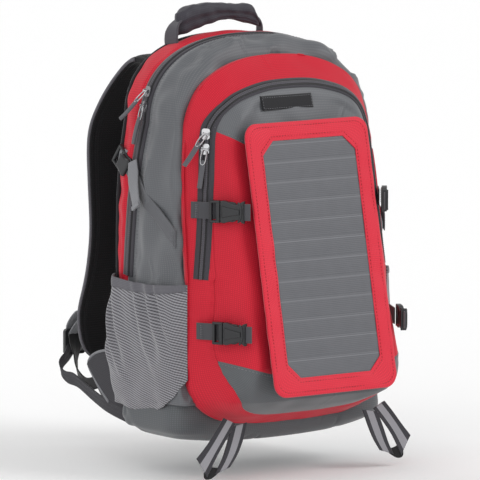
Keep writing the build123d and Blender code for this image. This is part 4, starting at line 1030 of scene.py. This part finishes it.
# ---- Zip sliders and pulls ----
# Nickel-plated die-cast sliders on both zips, two on each left leg; each pull is a wire
# eye and a link, crimped round a flat grey cord tab.
def metal(name, colour, roughness, tarnish):
    """Plated metal: an even bright finish, faintly clouded where fingers have worn it."""
    material = bpy.data.materials.new(name)
    material.use_nodes = True
    tree = material.node_tree
    shader = tree.nodes["Principled BSDF"]
    where = add_node(tree, "TexCoord").outputs["Object"]
    cloud = add_node(tree, "TexNoise", {"Vector": where}, Scale=260.0, Detail=3.0)
    mix = add_node(tree, "Mix", {"Factor": cloud.outputs["Fac"]}, data_type="RGBA")
    mix.inputs["A"].default_value, mix.inputs["B"].default_value = (linear(colour),
                                                                      linear(tarnish))
    tree.links.new(mix.outputs["Result"], shader.inputs["Base Color"])
    bump = add_node(tree, "Bump", {"Height": cloud.outputs["Fac"]}, Strength=0.1, Distance=0.0002)
    tree.links.new(bump.outputs["Normal"], shader.inputs["Normal"])
    shader.inputs["Metallic"].default_value = 1.0
    shader.inputs["Roughness"].default_value = roughness
    return material


def moulded(name, light, dark, roughness=0.4, grain=1.0):
    """Moulded acetal or ABS: a fine spark-eroded grain, grain millimetres across, and faint
    uneven gloss."""
    material = bpy.data.materials.new(name)
    material.use_nodes = True
    tree = material.node_tree
    shader = tree.nodes["Principled BSDF"]
    where = add_node(tree, "TexCoord").outputs["Object"]
    speck = add_node(tree, "TexNoise", {"Vector": where}, Scale=1000.0 / grain, Detail=2.0)
    mix = add_node(tree, "Mix", {"Factor": speck.outputs["Fac"]}, data_type="RGBA")
    mix.inputs["A"].default_value, mix.inputs["B"].default_value = linear(dark), linear(light)
    tree.links.new(mix.outputs["Result"], shader.inputs["Base Color"])
    bump = add_node(tree, "Bump", {"Height": speck.outputs["Fac"]}, Strength=0.12,
                    Distance=0.0002)
    tree.links.new(bump.outputs["Normal"], shader.inputs["Normal"])
    shader.inputs["Roughness"].default_value = roughness
    shader.inputs["IOR"].default_value = 1.48
    return material


NICKEL = metal("nickel-plated zinc", "#c9c9cb", 0.22, "#9d9da0")
ACETAL = moulded("black moulded acetal", "#2c2d30", "#1b1c1e", roughness=0.32)
CORD_TAB = woven("grey cord tab", "#6f6f74", "#525257", roughness=0.7, spacing=1.2, bump=0.4)


def repaint(material, *nodes):
    """Give CAD nodes that stay in view their finish."""
    for name in nodes:
        mesh = frame["nodes"][name].data
        mesh.materials.clear()
        mesh.materials.append(material)


def points_of(node):
    """A CAD node's corners, in metres."""
    solid = frame["nodes"][node]
    flat = np.empty(len(solid.data.vertices) * 3)
    solid.data.vertices.foreach_get("co", flat)
    turn = np.array(solid.matrix_world)
    return flat.reshape(-1, 3) @ turn[:3, :3].T + turn[:3, 3]


def slab(name, outline_points, low, high, frame_of, edge=0.8, inside=None):
    """A moulded plate: a closed outline in millimetres, from low to high, its rims rounded
    by edge in three steps, closed by a fan over each face."""
    outline_points = np.asarray(outline_points, float)
    along = np.roll(outline_points, -1, 0) - np.roll(outline_points, 1, 0)
    inward = np.stack([-along[:, 1], along[:, 0]], -1)
    inward /= np.maximum(np.linalg.norm(inward, axis=1, keepdims=True), 1e-9)
    x, y = outline_points.T
    if np.sum(x * np.roll(y, -1) - np.roll(x, -1) * y) < 0:
        inward = -inward
    a = np.linspace(0, np.pi / 2, 4)
    inset = np.r_[edge * (1 - np.cos(a))[::-1], edge * (1 - np.cos(a))]
    level = np.r_[low + edge * (1 - np.sin(a))[::-1], high - edge * (1 - np.sin(a))]
    flat = outline_points[:, None] + inward[:, None] * inset[:, None]
    rim = frame_of(flat[..., 0], flat[..., 1], level + 0 * flat[..., 0])
    mesh = bpy.data.meshes.new(name)
    form = bmesh.new()
    rings = [[form.verts.new(p) for p in rim[:, k]] for k in range(rim.shape[1])]
    count = len(outline_points)
    for lower, upper in zip(rings[:-1], rings[1:]):
        for i in range(count):
            form.faces.new((lower[i], lower[(i + 1) % count], upper[(i + 1) % count], upper[i]))
    form.faces.new(rings[0][::-1])
    form.faces.new(rings[-1])
    bmesh.ops.triangulate(form, faces=[f for f in form.faces if len(f.verts) > 4])
    bmesh.ops.recalc_face_normals(form, faces=form.faces)
    form.to_mesh(mesh)
    form.free()
    mesh.uv_layers.new(name="cloth")
    mesh.shade_auto_smooth() if hasattr(mesh, "shade_auto_smooth") else None
    piece = bpy.data.objects.new(name, mesh)
    bpy.context.collection.objects.link(piece)
    return piece


def joined(name, pieces):
    """Several meshes made into one piece."""
    form = bmesh.new()
    for piece in pieces:
        form.from_mesh(piece.data)
    mesh = bpy.data.meshes.new(name)
    form.to_mesh(mesh)
    form.free()
    for piece in pieces:
        bpy.data.objects.remove(piece)
    whole = bpy.data.objects.new(name, mesh)
    bpy.context.collection.objects.link(whole)
    return whole


for zip_name in ("main", "front"):
    for level in ("upper", "lower"):
        repaint(NICKEL, f"{zip_name}_slider_{level}")
        node = f"{zip_name}_pull_{level}"
        body = points_of(node)
        joint = [j for j in frame["joints"] if j["name"] == f"{node}_flip"][0]
        bar, axis = np.array(joint["pos_m"]), np.array(joint["axis"])
        reach = np.linalg.norm(body - bar, axis=1)
        tip_points = body[reach > reach.max() - 0.005]
        end = tip_points.mean(0)
        tab_way = (end - bar) / np.linalg.norm(end - bar)
        wide, off = np.linalg.svd(tip_points - end, full_matrices=False)[2][[0, 2]]
        wide -= tab_way * (wide @ tab_way)
        wide /= np.linalg.norm(wide)
        off = np.cross(wide, tab_way)
        tab_start = end - tab_way * 0.033
        eye_way = (tab_start - bar) / np.linalg.norm(tab_start - bar)
        eye_side = axis / np.linalg.norm(axis)
        gap = np.linalg.norm(tab_start - bar)
        turns = np.linspace(0, 2 * np.pi, 41)[:-1]
        loop_line = (bar + eye_way * (gap * 0.55 + 0.0022)
                     + np.cos(turns)[:, None] * eye_way * (gap * 0.55 + 0.002)
                     + np.sign(np.sin(turns))[:, None] * (np.abs(np.sin(turns)) ** 0.7)[:, None]
                     * eye_side * 0.0033)
        closed_line = np.vstack([loop_line, loop_line[:2]])
        wire = cord_mesh(f"{node}_wire", closed_line, 0.00085, 10)
        dress(wire, NICKEL, node.replace("slider", "pull"), "nickel_metal")
        t = np.linspace(0, 1, 60)
        half = 0.0034 * (1 - 0.12 * t) * np.minimum(1, np.sqrt(np.clip(t * 9, 0.05, 1)))
        crown = np.array([(-1, 0), (-0.92, 0.75), (-0.5, 1.0), (0, 0.85), (0.5, 1.0), (0.92, 0.75),
                          (1, 0), (0.92, -0.75), (0.5, -1.0), (0, -0.85), (-0.5, -1.0),
                          (-0.92, -0.75)])
        bend = 0.0012 * np.sin(t * 2.6)[:, None] * off
        middle = tab_start + tab_way * (t[:, None] * 0.034) + bend
        grid = (middle[:, None] + wide * (half[:, None] * crown[:, 0])[..., None]
                + off * (0.0012 * crown[:, 1])[None, :, None])
        grid = np.concatenate([grid[:1].mean(1, keepdims=True).repeat(12, 1), grid,
                               grid[-1:].mean(1, keepdims=True).repeat(12, 1)])
        tab = sew(f"{node}_tab", grid.transpose(1, 0, 2), ring=True, inside=tuple(middle.mean(0)))
        dress(tab, CORD_TAB, node, "grey_cord", node)

# ---- Side-release buckles, their tabs ----
# Black acetal. The plug is on the webbing sewn to the pack, the socket on the webbing sewn
# under the panel; a waisted body, a raised flute down its middle and a bowed end.
TAB_WEBBING = woven("grey buckle webbing", "#5d5d61", "#48484c", roughness=0.75, spacing=1.6,
                    bump=0.5)
repaint(TAB_WEBBING, "pack_tabs", "panel_tabs")


def buckle_frame(h, sign):
    """Local millimetres to metres for the buckle at a height: x along it, y across, z out."""
    share = (h - 100) / 285
    seam, face = 149 - 13 * share, 112 - 16 * share
    foot = main_front(h) + STEP
    depth = 234 - 58 * share
    run_way = np.array([seam - face, -(depth - foot), 0]) / math.hypot(seam - face, depth - foot)
    out_way = np.array([run_way[1], -run_way[0], 0])
    start = np.array([-(seam + face) / 2, -(foot + depth) / 2, h - 240])
    start = start + run_way * 20 + out_way * 11
    flip = np.array([-sign, 1, 1])

    def local(x, y, z):
        point = (start + np.asarray(x)[..., None] * run_way + np.asarray(y)[..., None]
                 * np.cross(out_way, run_way) + np.asarray(z)[..., None] * out_way)
        return point * flip / 1000
    return local


def mirrored(upper):
    """A closed outline from its upper half, left to right."""
    upper = np.asarray(upper, float)
    return np.vstack([upper, (upper * [1, -1])[::-1]])


for row, h in (("upper", 287.0), ("lower", 143.0)):
    for hand, sign in (("left", -1), ("right", 1)):
        local = buckle_frame(h, sign)
        waist = flowing([(-8.3, 12.6), (-6, 13.5), (-2, 13.3), (4, 11.4), (10, 9.6), (15, 10.4),
                         (19, 12.8), (21.4, 13.4)], 40)
        waist_box = mirrored(waist)
        body = slab("body", waist_box, -4.0, 3.2, local, 1.2)
        t = np.linspace(0, 1, 40)
        flute = mirrored(np.stack([-6 + 22 * t, 7.4 - 4.6 * t**0.8], -1))
        ridge = slab("ridge", flute, 3.0, 4.3, local, 0.8)
        bow_line = flowing([(14.5, 12), (17.0, 7.5), (18.0, 0), (17.0, -7.5), (14.5, -12)], 40)
        bow = cord_mesh("bow", local(bow_line[:, 0], bow_line[:, 1], 3.6 + 0 * bow_line[:, 0]),
                        0.0013, 8)
        piece = joined(f"buckle_socket_shell_{row}_{hand}", [body, ridge, bow])
        dress(piece, ACETAL, "solar_panel", "black_plastic", f"buckle_socket_{row}_{hand}")
        for k, at in enumerate((-41.0, -39.4)):
            row_y = np.linspace(-8.6, 8.6, 24)
            tack = local(at + 0 * row_y, row_y, -4.6 + 0 * row_y)
            out_way = local(0.0, 0.0, 1.0) - local(0.0, 0.0, 0.0)
            stitches(f"tab_tack_{row}_{hand}_{k}", tack,
                     np.tile(out_way / np.linalg.norm(out_way), (24, 1)), GREY_THREAD, "pack",
                     "black_webbing", length=1.3, gap=0.8, radius=0.4)
        frame_parts = []
        for corners in ([(-22.2, -13.5), (-8.9, -13.5), (-8.9, -10.4), (-22.2, -10.4)],
                        [(-22.2, 10.4), (-8.9, 10.4), (-8.9, 13.5), (-22.2, 13.5)],
                        [(-22.2, -11), (-18.9, -11), (-18.9, 11), (-22.2, 11)],
                        [(-13.6, -11), (-8.9, -11), (-8.9, 11), (-13.6, 11)]):
            box = closed(np.array(corners + corners[:1], float), 32)
            frame_parts.append(slab("rail", box, -3.2, 3.4, local, 0.9))
        tongue = closed(np.array([(-9, -3), (9, -3), (9, 3), (-9, 3), (-9, -3)], float), 32)
        frame_parts.append(slab("tongue", tongue, -1.9, 1.9, local, 0.5))
        for side in (-1, 1):
            prong = flowing([(-9, 7.2 * side), (4, 7.4 * side), (9.8, 8.6 * side),
                             (10.8, 10.6 * side), (7.0, 12.0 * side), (2.6, 11.8 * side),
                             (1.6, 10.4 * side), (-9, 9.8 * side), (-9, 7.2 * side)], 60)[:-1]
            frame_parts.append(slab("prong", prong, -1.9, 1.9, local, 0.4))
        piece = joined(f"buckle_plug_frame_{row}_{hand}", frame_parts)
        dress(piece, ACETAL, f"plug_{row}_{hand}", "black_plastic", f"buckle_plug_{row}_{hand}")

repaint(ACETAL, "junction_box", "ladder_lock_left", "ladder_lock_right", "battery_case",
        "battery_button")
LINING = woven("black lining taffeta", "#242428", "#151518", roughness=0.7)
repaint(LINING, "laptop_sleeve", "panel_backing", "battery_sleeve")
SHEET = moulded("white polyethylene sheet", "#e4e4e2", "#d3d3d0", roughness=0.45, grain=1.5)
repaint(SHEET, "frame_sheet")
SILICON = moulded("dark monocrystalline silicon", "#1c222e", "#131721", roughness=0.2, grain=3.0)
repaint(SILICON, "solar_cells")
FOIL = metal("laminated cell foil", "#b9bbbe", 0.35, "#9a9ca0")
repaint(FOIL, "battery_cell")

# ---- Webbing that hangs: mat loops, lower straps and their wings ----
# 20 mm polyester webbing with a dark ribbed edge; the mat loops have a reflective stripe down
# the middle and are folded to a point. The lower straps run from the ladder locks to a
# triangular wing sewn into each back corner.
STRIPE = woven("reflective grey stripe", "#a3a2a7", "#8a898e", roughness=0.42, spacing=1.3,
               bump=0.4, sheen=0.0)
# painted shade: a near-black copy of the charcoal webbing, for webbing that lies in shade
PAINTED_SHADE_WEBBING = woven("shadowed black webbing", "#1d1c1f", "#121113", roughness=0.8, spacing=1.6)


def strip(first, second, count, ribs=0.35):
    """A band between two lines in space, its face ribbed along it by ribs millimetres."""
    share = np.linspace(0, 1, count)[None, :, None]
    grid = first[:, None] * (1 - share) + second[:, None] * share
    lift = ribs * (1 - np.abs(2 * share[..., 0] - 1) ** 6) + 0.12 * np.cos(share[..., 0] * 56)
    return grid + facing(grid) * (lift / 1000)[..., None]


for hand, sign in (("left", 1), ("right", -1)):
    halves = []
    for part, (outside, inside_line) in enumerate((
            (([-121, 38], [-132, 25], [-146, 8], [-161, -8]),
             ([-104, 30], [-117, 14], [-132, -6], [-146.5, -31])),
            (([-110, 26], [-117, 8], [-125, -12], [-134.5, -29]),
             ([-87, 30], [-95, 8], [-103, -8], [-113, -22])))):
        first, second = flowing(outside, 60), flowing(inside_line, 60)
        t = np.linspace(0, 1, 60)
        sag = 190.6 + 1.6 * np.sin(np.pi * t) + part * 0.4
        grid = strip(place(sign * first[:, 0], sag, first[:, 1]),
                     place(sign * second[:, 0], sag + 0.8 * t, second[:, 1]), 25)
        halves.append(sew(f"strand_{part}", grid, weld=False, inside=(0, -0.1, -0.1)))
    loop = joined(f"mat_loop_{hand}", halves)
    solid = loop.modifiers.new("cloth", "SOLIDIFY")
    solid.thickness, solid.offset = 0.0016, -1
    loop.data.materials.append(WEBBING)
    dress(loop, STRIPE, f"loop_{hand}", "stripe_webbing", f"bottom_loop_{hand}")
    striped = np.tile((np.arange(24) > 6) & (np.arange(24) < 18), 59 * 2)
    loop.data.polygons.foreach_set("material_index", striped.astype(int))
    tip = flowing([(-146, -14), (-139, -19.5), (-128, -22), (-126, -25), (-134, -31), (-142, -34.5),
                   (-149, -33), (-150, -26), (-147, -17), (-146, -14)], 60)[:-1]

    def hanging(x, y, z, sign=sign):
        return place(sign * x, 190.4 + z + 0 * x, y)
    # the folded tip is painted in shade with the near-black webbing
    fold = slab(f"mat_loop_fold_{hand}", tip, -1.4, 0.2, hanging, 0.4)
    dress(fold, PAINTED_SHADE_WEBBING, f"loop_{hand}", "black_webbing")

    def across_strap(route, half, lean, name, material, body, slot, *nodes):
        """Webbing along knots (x, behind, up) in millimetres, half wide, its width lying
        along lean, which may change from end to end."""
        knots = np.asarray(route, float)
        line = np.stack([flowing(np.stack([np.arange(len(knots)) * 60.0, knots[:, k]], -1),
                                 120)[:, 1] for k in range(3)], -1)
        line = np.stack([-sign * -line[:, 0], line[:, 1], line[:, 2] - 240], -1) / 1000
        leans = np.asarray(lean, float)
        turn = np.stack([np.interp(np.linspace(0, len(leans) - 1, 120), np.arange(len(leans)),
                                   leans[:, k]) for k in range(3)], -1) * [sign, 1, 1]
        turn /= np.linalg.norm(turn, axis=1, keepdims=True)
        reach = turn * (np.interp(np.linspace(0, len(half) - 1, 120), np.arange(len(half)),
                                  half) / 1000)[:, None]
        piece = sew(name, strip(line - reach, line + reach, 13), weld=False, inside=(0, 0.05, 0))
        dress(piece, material, body, slot, *nodes, wall=1.4)
        return piece

    across_strap([(-121, 100, 138), (-121.5, 108, 136), (-122, 119, 127), (-122, 127.5, 116),
                  (-121, 128, 108), (-121, 124, 103.5), (-121, 120.5, 108), (-120, 112, 118),
                  (-119, 101.5, 127)], [9.8, 9.8],
                 [(1, 0, 0), (1, 0, 0)], f"lock_loop_{hand}", LIGHT_WEBBING, f"strap_{hand}",
                 "black_webbing")
    outer_strand = across_strap(
        [(-121, 126, 103), (-124, 127, 92), (-133, 124, 80), (-144, 121, 72),
         (-149, 118, 63), (-149, 109, 56), (-149, 92, 54), (-149, 66, 43), (-150, 28, 31),
         (-149, -34, 22)], [9.8, 9.8, 9.0, 7, 6, 7.5, 9.5, 9.8, 9.8, 9.8],
        [(1, 0, 0.1), (1, 0.3, -0.1), (0.9, 0.5, -0.5), (0.5, 0.3, -0.9), (0.1, -0.2, -1),
         (0.1, -0.3, -1), (0.1, -0.5, -1), (0.05, -0.5, -1), (0, -0.5, -1), (0, -0.5, -1)],
        f"lower_strap_{hand}", WEBBING, "pack", "black_webbing", f"strap_anchor_{hand}")
    # the inner strand is painted in shade with the near-black webbing
    inner_strand = across_strap(
        [(-121, 124, 105), (-126, 117, 92), (-134, 106, 78), (-141, 92, 61), (-147, 66, 52),
         (-149, 42, 56), (-149, 20, 64)], [9.8, 9.8, 9.0, 8.5, 8.0, 8.0, 8.0],
        [(1, 0, 0), (1, 0.2, -0.3), (0.7, 0.6, -0.5), (0.4, 0.3, -0.9), (0.1, 0, -1),
         (0.1, 0, -1), (0.1, 0, -1)],
        f"lower_tail_{hand}", PAINTED_SHADE_WEBBING, "pack", "black_webbing")
    for strand in (outer_strand, inner_strand):
        strand.parent = None
        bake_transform(strand)
    wing = strip(*(place(sign * np.interp(line[:, 0], (-53, 19), (-151, -148.6)), line[:, 0],
                         line[:, 1]) for line in (
        even(np.array([(19, 104), (-30, 97), (-52, 82), (-54, 79)], float), 60),
        even(np.array([(19, 20), (-26, 43), (-46, 66), (-54, 77)], float), 60))), 25)
    wing = sew(f"back_corner_wing_{hand}", wing, weld=False, inside=(0, -0.05, -0.1))
    dress(wing, WEBBING, "pack", "black_webbing", wall=1.6)
    rim = flowing([(19, 103), (-30, 96), (-53, 80), (-36, 58), (-10, 36)], 80)
    rim_line = place(sign * (-149.8), rim[:, 0], rim[:, 1])
    binding = cord_mesh(f"wing_binding_{hand}", rim_line, 0.0017)
    dress(binding, LIGHT_WEBBING, "pack", "grey_binding")

# ---- Compression straps: lever buckle, taut webbing, loose tail ----
# A cam lever buckle sits at the back edge on a loop of webbing; its strap lies tight across
# the side to a bar-tack at the front seam, and the loose end hangs with a folded hem.
LIFT_WEB = 1.1
gusset_room = (edge_at - FRONT_ROLL - zip_at)[:, 0]
left_rows = np.arange(len(outline) // 2)


def on_side(depth, h, lift):
    """Points on the left side of the pack, in metres, lift millimetres off the cloth."""
    row = np.interp(h, outline[left_rows, 1], left_rows)
    low = np.clip(np.floor(row).astype(int), 0, len(left_rows) - 2)
    frac = row - low
    shares = np.clip((depth - zip_depth(h)) / np.interp(row, left_rows, gusset_room[left_rows])
                     * 43, 0, 42.99)
    col = np.floor(shares).astype(int)
    part = shares - col
    corners = [gusset_cloth[low + a, col + b, 0] * (frac if a else 1 - frac)
               * (part if b else 1 - part) for a in (0, 1) for b in (0, 1)]
    cloth = sum(corners) * 1000
    plain = -np.interp(h, side_heights, side_half) - 2.8
    share = ease(depth - zip_depth(h), 4, 16)
    x = plain * (1 - share) + np.minimum(cloth, plain + 2.2) * share
    return place(x - lift, depth, h)


for hand, sign in (("left", 1), ("right", -1)):
    flip = np.array([sign, 1, 1])
    t = np.linspace(0, 1, 90)
    front_end = np.array([(141.5, 262), (141.5, 240)])
    back_end = np.array([(41.0, 340.5), (30.5, 325.5)])
    rows = [on_side(back_end[k, 0] + (front_end[k, 0] - back_end[k, 0]) * t,
                    back_end[k, 1] + (front_end[k, 1] - back_end[k, 1]) * t, LIFT_WEB) * flip
            for k in (0, 1)]
    level = np.stack([rows[0][:, 0], rows[1][:, 0]], -1)
    taut = (np.minimum if sign > 0 else np.maximum)(
        level.mean(1), np.interp(t, (0, 0.45, 1), level.mean(1)[[0, 40, -1]]))
    for row in rows:
        row[:, 0] = 0.75 * taut + 0.25 * row[:, 0]
    web = sew(f"compression_web_{hand}", strip(rows[0], rows[1], 17), weld=False)
    dress(web, GREY_WEBBING, "pack", "grey_fabric", f"compression_strap_{hand}", wall=1.2)
    for k, at in enumerate((0.965, 0.985)):
        tack = np.stack([rows[0][int(at * 89)], rows[1][int(at * 89)]])
        tack = even(tack * 1000, 30) / 1000 - flip * [0.0014, 0, 0]
        stitches(f"compression_tack_{hand}_{k}", tack, np.tile(flip * [-1.0, 0, 0], (30, 1)),
                 GREY_THREAD, "pack", "grey_fabric", length=1.6, gap=0.3, radius=0.5)
    tail_line = flowing([(53, 338), (60, 321), (68, 303), (76, 284)], 60)
    away_way = np.linspace(0, 1, 60)
    half = 6.5 + 3.8 * away_way
    side_step = np.stack([0.9 + 0 * away_way, 0.44 + 0 * away_way], -1) * half[:, None]
    off = 5.5 + 4.5 * np.sin(away_way * 2.2)
    edges = [on_side(tail_line[:, 0] + k * side_step[:, 0], tail_line[:, 1] + k * side_step[:, 1],
                     off - 1.2 * k) * flip for k in (-1, 1)]
    loose = sew(f"compression_tail_{hand}", strip(edges[0], edges[1], 17), weld=False)
    dress(loose, LIGHT_WEBBING, "pack", "grey_fabric", wall=1.6)
    hem = [on_side(tail_line[-6:, 0] + k * side_step[-6:, 0],
                   tail_line[-6:, 1] + k * side_step[-6:, 1], off[-6:] + 1.7 - 1.2 * k) * flip
           for k in (-1, 1)]
    hem = sew(f"compression_hem_{hand}", strip(hem[0], hem[1], 17), weld=False)
    dress(hem, LIGHT_WEBBING, "pack", "grey_fabric", wall=1.4)
    ring_line = [on_side(np.array([36.0, 16.0, 12.0, 19.0]), np.array([349.0, 352.0, 338.0, 323.0]),
                         np.array([0.5, -1.0, -4.0, 0.5])) * flip,
                 on_side(np.array([30.0, 21.0, 17.0, 24.0]), np.array([343.0, 345.0, 337.0, 327.0]),
                         np.array([3.0, 2.0, 0.5, 3.0])) * flip]
    ring_line = [even(line * 1000, 40) / 1000 for line in ring_line]
    keeper = sew(f"compression_keeper_{hand}", strip(ring_line[0], ring_line[1], 9), weld=False)
    dress(keeper, LIGHT_WEBBING, "pack", "grey_fabric", wall=1.4)

    middle = np.array([-0.14544 * 1000, -24.0, 96.0])
    out = np.array([-0.9975, 0, 0.0701])
    slope = math.radians(35.7)
    forward = np.array([0, -1.0, 0]) * math.cos(slope) + np.array([0.0701, 0, 0.9975]) * -math.sin(
        slope)
    side = np.cross(out, forward)

    def lever_at(x, y, z, middle=middle, flip=flip):
        point = (middle + np.asarray(x)[..., None] * forward + np.asarray(y)[..., None] * side
                 + (np.asarray(z)[..., None] + 4.6) * out)
        return point * flip / 1000
    parts = []
    for corners in ([(-15, -13), (15, -13), (15, -9.6), (-15, -9.6)],
                    [(-15, 9.6), (15, 9.6), (15, 13), (-15, 13)],
                    [(-15, -10), (-11, -10), (-11, 10), (-15, 10)],
                    [(-5, -10), (-1, -10), (-1, 10), (-5, 10)]):
        parts.append(slab("rail", closed(np.array(corners + corners[:1], float), 32), 0.0, 5.0,
                          lever_at, 1.2))
    grip = flowing([(-1, -9.5), (8, -10.5), (15, -12.4), (18, -9), (18.6, 0), (18, 9), (15, 12.4),
                    (8, 10.5), (-1, 9.5), (-2.5, 0), (-1, -9.5)], 80)[:-1]
    parts.append(slab("grip", grip, 1.0, 8.2, lever_at, 2.6))
    lever = joined(f"lever_buckle_shell_{hand}", parts)
    dress(lever, ACETAL, f"lever_{hand}", "black_plastic", f"lever_buckle_{hand}")
